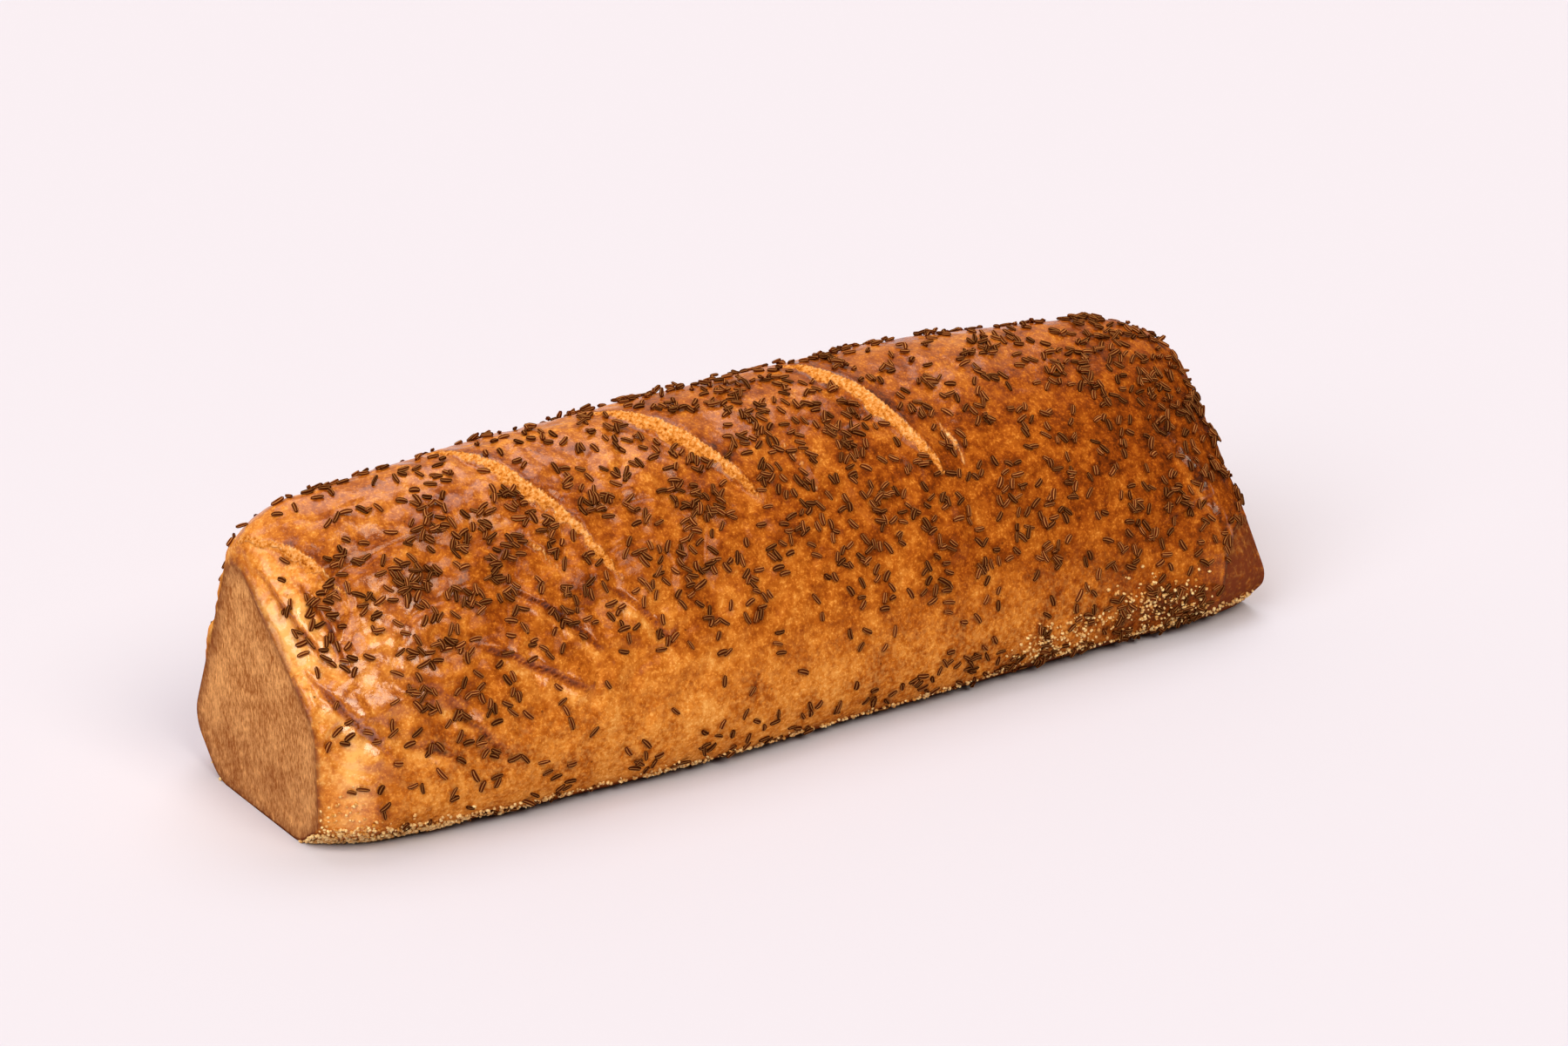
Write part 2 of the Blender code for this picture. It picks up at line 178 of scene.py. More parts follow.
LUMPS_CROWN = (-0.005, 0.028, 0.6)  # girth and width of the smoother crown, and how much smoother

# The skirt: crust of the right end that was tucked under, past a parabola round its girth
SKIRT_X = 0.1665
SKIRT_GIRTH = 0.115  # girth at which it reaches furthest left, to SKIRT_X
SKIRT_REACH = 0.035  # at this girth from there its edge lies SKIRT_SPREAD further right
SKIRT_SPREAD = 0.0165
SKIRT_DEPTH = 0.0009
SKIRT_EDGE = 0.0012  # width over which the crust sinks to the skirt

# The end faces, and where the relief of the crust fades out
END_LUMPS = [(0.020, 0.0006), (0.006, 0.00025)]  # of the end faces: their length and height
END_HOLLOW = 0.0006  # how far an end face lies inside its rim
END_FADE = 0.0015  # relief fades out this near an end face
BASE_FADE = 0.006  # and this near the base

# Torn edges and floors of the slashes
TORN_EDGE = [(0.0070, 0.0011), (0.0024, 0.0006)]
TORN_FLOOR = [(0.0030, 0.00040), (0.0013, 0.00030)]
TORN_FRAY = [(0.0120, 0.0024), (0.0035, 0.0022)]
TORN_BLUR = 0.0006
TORN_BROWNING = (0.22, 0.28, 0.7)  # where a floor browns towards its ends, and how much
BARE_WIDTHS = [0.0022, 0.0042, 0.0046, 0.0058]  # of the pale strip beside each slash's lip
LIP_REACH = 0.0042  # width of the darker crust beside a lip
EAR_REACH = 0.0040  # width of the crust there that holds no seeds

# Grid of the crust: counts of rings, and of points round a ring
LEFT_FACE_RINGS = 24
LEFT_SHOULDER_RINGS = 42
BODY_RINGS = 314
RIGHT_SHOULDER_RINGS = 28
RIGHT_FACE_RINGS = 12
END_SPACING = 1.25  # how much closer the rings of an end face lie towards its rim
NEAR_POINTS = 132
FAR_POINTS = 76
BASE_POINTS = 12  # to each side of the middle of the base
FINE_RANGES = [(-0.116, -0.070), (-0.056, -0.012), (0.024, 0.072)]  # x that holds a slash
FINE_SHARE = 1.6
FINE_GIRTH = 0.42  # share of the near side's girth, from the base up, where detail begins

# How dark the crust is, from 0 to 1: how it baked by girth, darker towards the right end, and what
# patches add to it
BAKE_GIRTH = [-0.135, -0.100, -0.060, -0.020, 0.005, 0.030, 0.050, 0.070, 0.090, 0.110, 0.135]
BAKE_LEVEL = [0.44, 0.46, 0.48, 0.46, 0.47, 0.56, 0.58, 0.56, 0.50, 0.45, 0.43]
BAKE_X = [-0.190, -0.174, -0.150, -0.060, 0.010, 0.120, 0.190]
BAKE_TILT = [-0.14, -0.04, 0.03, -0.02, 0.04, 0.15, 0.27]
EDGE_BAKE = 0.24
# Painted shade in the gaps between the cornmeal grains, on the crust under them
MEAL_GAP_SHADE = 0.60
# Darker foot of the near side: its baked underside, deepened by painted contact shade
FOOT_BAKE_AND_SHADE = 0.90
FOOT_START = -0.160  # x where that dark foot begins
FOOT_X = [-0.140, 0.000, 0.070]  # its height, by x
FOOT_HEIGHT = [0.0046, 0.0050, 0.0062]
FOOT_FADE = 0.0016
BAKE_PATCHES = [
    Patch(-0.184, 0.036, 0.008, 0.034, -0.22),
    Patch(0.000, 0.000, 0.050, 0.012, 0.08),
    # The next two: paler crust by fold B and on the bulge, deepened into painted highlight
    Patch(-0.180, 0.098, 0.008, 0.022, -0.16),
    Patch(-0.160, 0.060, 0.015, 0.020, -0.20),
    Patch(0.085, 0.040, 0.035, 0.022, -0.05),
    Patch(0.150, 0.124, 0.034, 0.012, 0.30),
    Patch(0.164, 0.090, 0.010, 0.018, -0.08),
    # Painted highlight: the lighter bank beside fold B
    Patch(-0.1795, 0.092, 0.0040, 0.012, -0.16),
    Patch(0.105, 0.008, 0.022, 0.012, -0.12),
    Patch(-0.148, 0.104, 0.014, 0.014, 0.05),
    Patch(0.172, 0.030, 0.010, 0.024, -0.10),
    Patch(-0.178, 0.130, 0.012, 0.006, 0.14),
]

# Where the starch glaze lies thickest
CROWN_GLAZE = 0.80
GLAZE_PATCHES = [
    Patch(-0.160, 0.062, 0.016, 0.024, 1.6),
    Patch(-0.175, 0.086, 0.008, 0.018, 1.4),
    Patch(-0.185, 0.044, 0.005, 0.030, 0.9),
    Patch(-0.140, 0.048, 0.014, 0.010, 0.6),
    Patch(-0.180, 0.104, 0.005, 0.014, 1.2),
    Patch(-0.120, 0.010, 0.040, 0.018, 0.3),
    Patch(-0.060, 0.060, 0.050, 0.030, 0.3),
    Patch(0.105, 0.008, 0.026, 0.014, 0.5),
    Patch(0.163, 0.086, 0.006, 0.022, 0.5),
]

# Seeds to a square centimetre: rows go by girth, columns by x
SEED_X = [-0.180, -0.150, -0.110, -0.070, -0.030, 0.010, 0.050, 0.090, 0.130, 0.165, 0.182]
SEED_CHART = {
    -0.130: [0.3, 0.4, 0.4, 0.4, 0.4, 0.4, 0.4, 0.4, 0.5, 0.6, 0.3],
    -0.100: [0.3, 0.4, 0.4, 0.4, 0.4, 0.4, 0.4, 0.4, 0.5, 0.6, 0.3],
    -0.060: [0.4, 0.6, 0.7, 0.8, 0.8, 0.8, 0.8, 0.8, 0.8, 0.8, 0.4],
    -0.020: [1.0, 1.6, 1.8, 2.4, 2.8, 2.8, 2.8, 2.8, 2.8, 3.0, 1.8],
    -0.008: [1.4, 1.6, 1.6, 2.6, 2.8, 2.8, 2.8, 1.6, 1.9, 4.2, 3.6],
    0.005: [0.8, 1.0, 1.0, 2.6, 4.2, 4.2, 4.0, 1.4, 1.6, 5.4, 5.2],
    0.015: [1.2, 2.2, 2.8, 3.4, 5.5, 6.0, 5.0, 2.6, 3.0, 6.0, 5.6],
    0.028: [2.0, 4.4, 4.4, 3.6, 4.0, 5.0, 4.5, 3.5, 3.5, 6.0, 6.0],
    0.045: [3.0, 5.4, 5.2, 4.4, 3.6, 3.5, 2.5, 1.5, 2.5, 5.0, 6.0],
    0.060: [2.8, 4.2, 3.6, 3.8, 3.8, 3.8, 3.4, 1.8, 2.0, 3.0, 5.0],
    0.075: [1.6, 3.6, 3.0, 3.2, 3.0, 3.2, 3.4, 2.8, 1.8, 2.5, 3.0],
    0.092: [0.9, 2.4, 2.2, 1.4, 1.4, 1.6, 2.0, 2.0, 1.8, 2.5, 1.0],
    0.108: [0.4, 0.6, 0.4, 0.2, 0.4, 0.6, 0.8, 0.8, 1.5, 1.5, 0.4],
    0.120: [0.3, 0.8, 1.0, 0.5, 0.4, 0.5, 1.2, 2.6, 4.0, 3.6, 0.3],
    0.130: [0.1, 2.0, 3.0, 1.6, 1.4, 2.6, 3.6, 5.0, 6.0, 4.0, 0.2],
}
SEED_PLENTY = 1.7  # the chart counts what is left once crowded seeds are gone
SEED_CLUSTERS = (0.010, 2.2)  # length of the clusters, and how strongly seeds gather
SEED_RIBS = 5
SEED_FULLNESS = 1.22  # how much fuller than a ball the seed is near its tips
SEED_TURN = math.radians(22)  # how far a seed's crescent bends from tip to tip
SEED_SINK = 0.00010  # depth of a seed's middle below its own half thickness
SEED_SINK_LOW = 0.00045  # the same near the base, where the seeds were pressed in
SEED_HEAP = 0.0008  # how much higher a seed lies that has landed on another
SEED_TOUCH = 0.0011  # distance between the middles of two seeds that lie on each other
SEED_CROWDED = 0.45  # share of that distance under which most seeds have fallen off
SEED_LENGTHS = (0.12, 0.74, 1.3)  # spread of their lengths, and the shortest and longest
SEED_SPAN = (-0.32, 0.0, 0.32)  # places along a seed, as shares of its length
SEED_LOW = 0.018  # height under which the seeds were pressed in
SEED_FOOT = (0.0030, 0.0010)  # height of the lowest seeds of the near and the far side
SEED_CELL = 0.004  # size of the cells in which a seed looks for the ones beside it
SEED_TILT = 0.10  # spread of the tilts of seeds that lie on the crust
SEED_HEAP_TILT = 0.22  # the same for seeds that lie on others
SEED_STANDING = 0.05  # share of the seeds that stand up
SEED_ROLL = 0.5  # spread of how far seeds roll about their length
SEED_LIMIT = 2480
SEED_SHADE_REACH = 0.0020  # reach of the painted shade round a seed

# Cornmeal: grains to a square centimetre along the base, and in patches higher up
MEAL_X = [-0.190, -0.175, -0.150, -0.110, -0.050, 0.030, 0.080, 0.120, 0.160, 0.190]
MEAL_RISE = [0.0080, 0.0070, 0.0036, 0.0018, 0.0014, 0.0012, 0.0014, 0.0020, 0.0026, 0.0024]
MEAL_THICK = [160, 170, 170, 150, 120, 90, 110, 120, 120, 60]
MEAL_PATCHES = [
    Patch(-0.185, 0.112, 0.006, 0.014, 60),
    Patch(0.088, 0.128, 0.010, 0.007, 120),
    Patch(0.102, 0.123, 0.007, 0.006, 90),
    Patch(0.122, 0.116, 0.008, 0.008, 70),
    Patch(0.138, 0.117, 0.010, 0.007, 90),
    Patch(0.153, 0.118, 0.007, 0.006, 50),
    Patch(0.168, 0.130, 0.014, 0.006, 90),
]
MEAL_PATCH_SHARE = 0.55
MEAL_CLUMPS = (0.0025, 1.6, 1.15)  # their length and strength, and the strength's mean
MEAL_BOTTOM = [(-0.178, 0.0004), (-0.140, 0.0034), (0.020, 0.0038), (0.080, 0.0048)]
MEAL_FAR_SHARE = 0.2  # the far side's meal, as a share of the near side's
MEAL_LIMIT = 9500

# The stage. A soft box has a name, the setting that holds its strength, its turn and rise as
# seen from the loaf, its width in degrees, and its colour.
SOFT_BOXES = [
    ("top_box", "top", (-142.0, 69.0), 40.0, "#fffbf6"),
    ("left_box", "key", (70.0, 44.0), 48.0, "#fff8f0"),
    ("front_box", "front", (-2.0, 46.0), 30.0, "#fff0d8"),
]
WALL_BEHIND = (0.15, 0.80, 0.58)  # direction of the pale wall behind the loaf
WALLS_ASIDE = 0.08  # brightness of the other walls, as a share of that wall's
CAMERA_TARGET = (0.02357, 0.00493, 0.05179)

TO_SQUARE_METRE = 10000.0  # square centimetres in a square metre

CRUST_SEED = 7
FRAY_SEED = 21
CARAWAY_SEED = 23
MEAL_SEED = 5


def linear(code):
    """A colour given as an sRGB hex code, in linear light."""
    parts = [int(code[i : i + 2], 16) / 255 for i in (1, 3, 5)]
    return [p / 12.92 if p <= 0.04045 else ((p + 0.055) / 1.055) ** 2.4 for p in parts]


def colour(name, code, what):
    """A colour setting."""
    return FloatVectorProperty(
        name=name, description=what, subtype="COLOR", size=3, min=0, max=1, default=linear(code)
    )


def amount(name, default, what, **limits):
    """A number setting."""
    return FloatProperty(name=name, default=default, description=what, **limits)


class CrustSettings(bpy.types.PropertyGroup):
    """Colours and relief of the crust."""

    pale: colour("Pale crust", "#f7b764", "Crust that the oven hardly browned")
    golden: colour("Golden crust", "#d98733", "Lightly baked crust")
    amber: colour("Amber crust", "#b4611a", "Crust of the middle of the side")
    brown: colour("Brown crust", "#8b400e", "Well baked crust of the crown")
    umber: colour("Dark crust", "#4a1f0b", "Darkest crust, along torn edges")
    crumb: colour("Torn crumb", "#f2b06c", "Crumb that a slash lays open")
    crumb_light: colour("Crumb threads", "#ffd7a0", "Palest threads of the torn crumb")
    crumb_shade: colour("Crumb pores", "#94480f", "Pores and creases of the torn crumb")
    face: colour("End face", "#fcb974", "Matt end where the loaf touched its neighbour")
    face_shade: colour("End face pores", "#a3602f", "Pores of the end faces")
    plum: colour("Scorched rim", "#743820", "Purple brown of the rims and the skirt")
    lumps: amount("Lumps", 1.0, "Strength of the small swellings", min=0, max=3)
    glaze: amount(
        "Glaze", 0.85, "Weight of the starch glaze on the crown", min=0, max=1, subtype="FACTOR"
    )


class SeedSettings(bpy.types.PropertyGroup):
    """Number, size and colours of the caraway seeds."""

    share: amount("Share", 1.0, "Share of the full number of seeds", min=0.1, max=1)
    length: amount("Length", 0.0043, "Mean length of a seed", unit="LENGTH")
    width: amount("Width", 0.00174, "Mean width of a seed", unit="LENGTH")
    husk: colour("Husk", "#4c1805", "Brown husk between the ribs")
    rib: colour("Ribs", "#c98c4e", "Pale ribs along a seed")


class MealSettings(bpy.types.PropertyGroup):
    """Number, size and colours of the cornmeal grains."""

    share: amount("Share", 1.0, "Share of the full number of grains", min=0.1, max=1)
    size: amount("Size", 0.00110, "Mean width of a grain", unit="LENGTH")
    yellow: colour("Yellow grain", "#c8821e", "Colour of the horny grains")
    white: colour("White grain", "#ffdf9c", "Colour of the floury grains")


class StageSettings(bpy.types.PropertyGroup):
    """Floor, lights and camera."""

    floor: colour("Floor", "#dadbec", "Colour of the studio floor")
    top: amount("Top light", 0.9, "Strength of the light above and behind", min=0)
    key: amount("Left light", 2.0, "Strength of the light on the left end", min=0)
    front: amount("Front light", 1.6, "Strength of the light beside the camera", min=0)
    fill: amount("Walls", 0.6, "Brightness of the pale wall behind the loaf", min=0)
    turn: amount(
        "Camera turn",
        math.radians(34.25),
        "How far round the loaf the camera stands, from the near side to the left",
        subtype="ANGLE",
    )
    rise: amount(
        "Camera rise", math.radians(23.0), "How far above level the camera stands", subtype="ANGLE"
    )
    reach: amount(
        "Camera distance", 1.5998, "Distance from the camera to the loaf", unit="LENGTH"
    )
    lens: IntProperty(name="Lens", description="Focal length in millimetres", default=104)


def direction(turn, rise):
    """The direction at a turn from the near side to the left, and a rise above level."""
    level = math.cos(rise)
    return Vector((-math.sin(turn) * level, -math.cos(turn) * level, math.sin(rise)))


def smooth_step(value):
    """Rise smoothly from 0 to 1 as the value goes from 0 to 1."""
    value = np.clip(value, 0.0, 1.0)
    return value * value * (3.0 - 2.0 * value)


def ease(value, start, end):
    """Rise smoothly from 0 to 1 as the value goes from the start to the end."""
    return smooth_step((value - start) / (end - start))


def bell(value, width):
    """1 where the value is 0, fading to 0 beyond the width on both sides."""
    return np.exp(-((value / width) ** 2))


def section_at(share):
    """The cross section at a share of the half length, from -1 at the left to 1."""
    end = LEFT if share < 0 else RIGHT
    weight = abs(share) ** TAPER_EXPONENT
    return Section(*(m + (e - m) * weight for m, e in zip(MIDDLE, end)))


def section_sides(section, steps=160):
    """The near side from the base to the crown, and the far side back down, as y and z."""
    angle = np.linspace(0.0, math.pi / 2, steps)
    power = 2.0 / section.roundness
    low_y = section.base + (section.half_width - section.base) * np.sin(angle)
    low_z = section.widest * (1.0 - np.cos(angle))
    high_y = section.half_width * np.abs(np.cos(angle)) ** power
    high_z = section.widest + (section.height - section.widest) * np.sin(angle) ** power
    y = np.concatenate([low_y, high_y[1:]])
    z = np.concatenate([low_z, high_z[1:]])
    lean = section.lean * (z / section.height) ** LEAN_EXPONENT
    near = np.stack([lean - y, z], axis=1)
    far = np.stack([lean + y, z], axis=1)
    return near, far[::-1]


def corner_arc(before, corner, after, radius, steps=14):
    """The arc that rounds one corner of an outline."""
    to_before = (before - corner) / np.linalg.norm(before - corner)
    to_after = (after - corner) / np.linalg.norm(after - corner)
    half_angle = math.acos(float(to_before @ to_after)) / 2
    inward = (to_before + to_after) / np.linalg.norm(to_before + to_after)
    centre = corner + inward * radius / math.sin(half_angle)
    first = corner + to_before * radius / math.tan(half_angle) - centre
    last = corner + to_after * radius / math.tan(half_angle) - centre
    begin = math.atan2(first[1], first[0])
    turn = (math.atan2(last[1], last[0]) - begin + math.pi) % math.tau - math.pi
    angle = begin + turn * np.linspace(0.0, 1.0, steps)
    return centre + radius * np.stack([np.cos(angle), np.sin(angle)], axis=1)


def face_sides(corners):
    """The outline of an end face, split at its peak into a near and a far side."""
    points = [np.array(corner[:2]) for corner in corners]
    arcs = []
    for index, corner in enumerate(corners):
        after = points[(index + 1) % len(points)]
        arcs.append(corner_arc(points[index - 1], points[index], after, corner[2]))
    outline = np.concatenate(arcs)
    peak = int(np.argmax(outline[:, 1]))
    return outline[: peak + 1], outline[peak:]


def spread(points, shares):
    """Points at the given shares of the length of a line of points."""
    steps = np.linalg.norm(np.diff(points, axis=0), axis=1)
    distance = np.concatenate([[0.0], np.cumsum(steps)])
    wanted = np.asarray(shares) * distance[-1]
    return np.stack([np.interp(wanted, distance, points[:, i]) for i in (0, 1)], axis=1)


def shares_by_weight(places, weights, count):
    """Shares from 0 to 1 that lie closer together where the weight is high."""
    total = np.concatenate([[0.0], np.cumsum((weights[1:] + weights[:-1]) / 2 * np.diff(places))])
    return np.interp(np.linspace(0.0, total[-1], count), total, places)


def near_shares():
    """Shares of the near side from the base to the crown, finer where seeds and slashes lie."""
    places = np.linspace(0.0, 1.0, 400)
    weights = 1.0 + 0.5 * smooth_step((places - FINE_GIRTH) / 0.1)
    return shares_by_weight(places, weights, NEAR_POINTS + 1)


def far_shares():
    """Shares of the far side from the crown to the base."""
    places = np.linspace(0.0, 1.0, 400)
    weights = 1.0 + 1.2 * smooth_step((0.25 - places) / 0.2)
    return shares_by_weight(places, weights, FAR_POINTS + 1)


def ring(near, far):
    """A closed ring: from the middle of the base up the near side and down the far one."""
    middle = (near[:1] + far[-1:]) / 2
    base = np.linspace(0.0, 1.0, BASE_POINTS + 1)
    near_base = spread(np.concatenate([middle, near[:1]]), base)[:-1]
    near_side = spread(near, near_shares())[:-1]
    far_side = spread(far, far_shares())
    far_base = spread(np.concatenate([far[-1:], middle]), base)[1:-1]
    return np.concatenate([near_base, near_side, far_side, far_base])


def shoulder_rings(side, shoulder, corners, count):
    """The rings of one shoulder, which turn in from the crust to the end face."""
    face = ring(*face_sides(corners))
    full_turn = math.asin(SHOULDER_TURN)
    rings = []
    for angle in np.linspace(0.0, full_turn, count + 1)[1:]:
        share = shoulder + (1.0 - shoulder) * math.sin(angle) / SHOULDER_TURN
        turned = (1.0 - math.cos(angle)) / (1.0 - math.cos(full_turn))
        own = ring(*section_sides(section_at(side * share)))
        rings.append((side * share, own * (1.0 - turned) + face * turned))
    return rings


def body_shares():
    """Shares of the half length between the shoulders, finer across the slashes."""
    places = np.linspace(-LEFT_SHOULDER, RIGHT_SHOULDER, 2000)
    weights = np.ones(len(places))
    for low, high in FINE_RANGES:
        x = places * LENGTH / 2
        weights[(x > low) & (x < high)] = FINE_SHARE
    return shares_by_weight(places, weights, BODY_RINGS)


def plain_surface():
    """The crust without relief: an array of rings of points."""
    left = shoulder_rings(-1, LEFT_SHOULDER, LEFT_FACE, LEFT_SHOULDER_RINGS)[::-1]
    right = shoulder_rings(1, RIGHT_SHOULDER, RIGHT_FACE, RIGHT_SHOULDER_RINGS)
    middle = [(share, ring(*section_sides(section_at(share)))) for share in body_shares()]
    rows = []
    for share, outline in left + middle + right:
        x = np.full((len(outline), 1), share * LENGTH / 2)
        rows.append(np.concatenate([x, outline], axis=1))
    return np.array(rows)


def girth_of(surface):
    """The girth of every point: its distance round its ring from the crown's ridge."""
    crown = BASE_POINTS + NEAR_POINTS
    steps = np.linalg.norm(np.diff(surface, axis=1), axis=2)
    distance = np.concatenate([np.zeros((len(surface), 1)), np.cumsum(steps, axis=1)], axis=1)
    return distance[:, crown : crown + 1] - distance


def normals_of(surface):
    """Unit normals of the rings' points, facing out."""
    along = np.gradient(surface, axis=0)
    around = np.roll(surface, -1, axis=1) - np.roll(surface, 1, axis=1)
    normal = np.cross(along, around)
    return normal / np.linalg.norm(normal, axis=2, keepdims=True)


def noise_at(surface, waves, shift=0.0):
    """The sum of smooth noises, each of a length and a height, at every point."""
    flat = surface.reshape(-1, 3) + shift
    total = np.zeros(len(flat))
    for wide, high in waves:
        total += high * np.array([noise.noise(Vector(point)) for point in flat / wide])
    return total.reshape(surface.shape[:-1])


def course_of(furrow, x, girth, sway):
    """The course of a furrow, as seen from every place."""
    start = np.array(furrow.start)
    run = np.array(furrow.end) - start
    length = np.linalg.norm(run)
    ahead = run / length
    along = ((x - start[0]) * ahead[0] + (girth - start[1]) * ahead[1]) / length
    across = (x - start[0]) * ahead[1] - (girth - start[1]) * ahead[0]
    across = across - furrow.bow * 4.0 * along * (1.0 - along) + sway
    opening = np.sin(math.pi * np.clip(along, 0.0, 1.0)) ** OPENING_EXPONENT
    return Course(along, across, opening)


def furrow_relief(furrow, course):
    """Height of a slash or a fold over the plain crust."""
    half_gape = np.maximum(furrow.gape / 2 * course.opening, 0.00001)
    past = course.across + half_gape
    bank = -furrow.depth * smooth_step(1.0 + past / furrow.left_bank)
    floor = -furrow.depth + (furrow.depth + furrow.lip) * past / (2.0 * half_gape)
    fall = furrow.lip * (1.0 - smooth_step((course.across - half_gape) / furrow.right_bank))
    profile = np.where(course.across < half_gape, floor, fall)
    return np.where(course.across < -half_gape, bank, profile) * course.opening


def furrow_floor(furrow, course):
    """1 on the open floor of a slash and 0 off it."""
    inside = furrow.gape / 2 * course.opening - np.abs(course.across)
    return smooth_step(inside / TORN_BLUR + 0.5) * (course.opening > 0.02)


def bare_strip(furrow, course, wide, fray):
    """The pale strip of crumb beside a slash's lip, and how far across it a place is."""
    off_lip = furrow.gape / 2 * course.opening - course.across
    inside = (wide + fray) * course.opening - off_lip
    strip = smooth_step(off_lip / TORN_BLUR + 0.5) * smooth_step(inside / (3 * TORN_BLUR) + 0.5)
    share = off_lip / np.maximum(wide * course.opening, 0.0001)
    return strip * (course.opening > 0.05), np.clip(share, -1.0, 3.0)


def beside_lip(furrow, course, reach):
    """1 along the lip of a slash, fading to 0 at a distance to its right."""
    past = course.across - furrow.gape / 2 * course.opening
    return np.where(past > 0, bell(past, reach), 0.0) * course.opening


def fold_shade_and_highlight(across):
    """Painted shade in a fold's crease and painted highlight on its left bank, as darkness added to
    the crust.
    """
    return 0.40 * bell(across, 0.0008) - 0.26 * bell(across + 0.0030, 0.0020)


def fold_glaze(across):
    """How much thicker the glaze lies on both banks of a fold than on the crust."""
    return 1.1 * bell(np.abs(across + 0.0006) - 0.0024, 0.0014)


def skirt_shade_and_highlight(past):
    """Painted shade along the skirt's edge, and painted highlight on the crust just before it."""
    return 0.50 * bell(past - 0.0008, 0.0010) - 0.22 * bell(past + 0.0016, 0.0014)


def patch_at(patch, x, girth):
    """What a soft-edged oval adds at every place."""
    off = ((x - patch.x) / patch.length) ** 2 + ((girth - patch.girth) / patch.width) ** 2
    return patch.amount * np.exp(-off)


def past_skirt_edge(x, girth):
    """How far every place lies past the edge of the skirt at the right end."""
    return x - SKIRT_X - SKIRT_SPREAD * ((girth - SKIRT_GIRTH) / SKIRT_REACH) ** 2


class Crust:
    """The crust's grid of points, with what is known at each of them."""

    def __init__(self, settings):
        plain = plain_surface()
        self.x = plain[:, :, 0]
        self.girth = girth_of(plain)
        self.height = plain[:, :, 2]
        self.sway = noise_at(plain, TORN_EDGE, CRUST_SEED)
        self.crumb, self.edge, self.glazed, self.ear = np.zeros((4, *self.x.shape))
        self.open_slashes(noise_at(plain, TORN_FRAY, FRAY_SEED))
        self.past_skirt = past_skirt_edge(self.x, self.girth)
        self.skirt = smooth_step(self.past_skirt / SKIRT_EDGE)
        self.from_end = smooth_step((LENGTH / 2 - np.abs(self.x)) / END_FADE)
        height = self.relief(plain, settings.lumps)
        self.points = plain + normals_of(plain) * height[:, :, None]
        self.normals = normals_of(self.points)

    def course(self, furrow, wander=1.0):
        """The course of a furrow whose edges wander."""
        return course_of(furrow, self.x, self.girth, wander * self.sway)

    def open_slashes(self, fray):
        """Find the bare crumb of the slashes and small tears, and the lips beside it."""
        first, reach, browning = TORN_BROWNING
        for slash, wide in zip(SLASHES, BARE_WIDTHS):
            course = self.course(slash)
            bare, share = bare_strip(slash, course, wide, fray)
            self.crumb = np.maximum(self.crumb, bare)
            browned = browning * smooth_step((np.abs(course.along - 0.5) - first) / reach)
            self.glazed = np.maximum(self.glazed, bare * (browned + np.clip(share, 0.0, 1.0)))
            self.edge += beside_lip(slash, course, LIP_REACH)
            self.edge += 0.7 * furrow_floor(slash, course) * smooth_step(share - 0.5)
            self.ear += beside_lip(slash, course, EAR_REACH)
        self.ear = np.minimum(self.ear, 1.0)
        for tear in TEARS:
            self.crumb = np.maximum(self.crumb, 0.7 * furrow_floor(tear, self.course(tear)))

    def relief(self, plain, lumps):
        """Height of the whole relief over the plain crust."""
        height = noise_at(plain, SWELLS) - SKIRT_DEPTH * self.skirt
        for slash in SLASHES:
            height += furrow_relief(slash, self.course(slash))
        for fold in FOLDS + CREASED:
            height += FOLD_SHARPNESS * furrow_relief(fold, self.course(fold, FOLD_SWAY))
        for bulge in BULGES:
            height += patch_at(bulge, self.x, self.girth)
        left = smooth_step((-0.030 - self.x) / 0.050)
        calm = smooth_step((self.height - 0.030 + 0.022 * left) / 0.030)
        rough = (LUMPS_LOW + (1.0 - LUMPS_LOW) * calm) * (1.0 + LUMPS_LEFT * left)
        crown, wide, smoother = LUMPS_CROWN
        rough *= 1.0 - smoother * bell(self.girth - crown, wide)
        size, width, depth = CREASES
        lumpy = noise_at(plain, LUMPS, 3.0)
        lumpy -= depth * bell(noise_at(plain, [(size, 1.0)], 6.0), width)
        height += lumpy * lumps * rough * (1.0 - self.crumb)
        height += noise_at(plain, TORN_FLOOR, 5.0) * self.crumb
        return height * self.from_end * smooth_step(self.height / BASE_FADE)

    def beside_folds(self, profile):
        """What a profile across the folds adds, fading out at the ends of each."""
        total = np.zeros(self.x.shape)
        for fold in FOLDS[:4] + CREASED:
            course = self.course(fold, FOLD_SWAY)
            total += profile(course.across) * course.opening
        return total

    def bake(self):
        """How dark the crust is, from 0 to 1: its bake, with painted shade in creases, at the foot
        and under the meal, and painted highlight on banks.
        """
        level = np.interp(self.girth, BAKE_GIRTH, BAKE_LEVEL)
        level += np.interp(self.x, BAKE_X, BAKE_TILT)
        level += sum(patch_at(patch, self.x, self.girth) for patch in BAKE_PATCHES)
        level += EDGE_BAKE * self.edge + skirt_shade_and_highlight(self.past_skirt)
        near = self.girth > 0.0
        foot = np.interp(self.x, FOOT_X, FOOT_HEIGHT) - self.height
        level += FOOT_BAKE_AND_SHADE * smooth_step(foot / FOOT_FADE) * near * (self.x > FOOT_START)
        level += MEAL_GAP_SHADE * bell(self.height, np.interp(self.x, MEAL_X, MEAL_RISE)) * near
        return np.clip(level + self.beside_folds(fold_shade_and_highlight), 0.0, 1.0)

    def glaze(self):
        """How thick the starch glaze lies."""
        patches = sum(patch_at(patch, self.x, self.girth) for patch in GLAZE_PATCHES)
        crown = CROWN_GLAZE * ease(self.height, 0.080, 0.105)
        return patches + self.beside_folds(fold_glaze) + crown

    def matt(self):
        """Floury crust low on the sides, on the skirt and under the loaf."""
        low = 0.75 * ease(self.height, 0.052, 0.018) * ease(self.height, 0.003, 0.006)
        low *= ease(self.x, -0.178, -0.158) * (1.0 - 0.8 * ease(self.x, 0.090, 0.140))
        return np.clip(np.maximum(low, self.skirt), 0, 1)

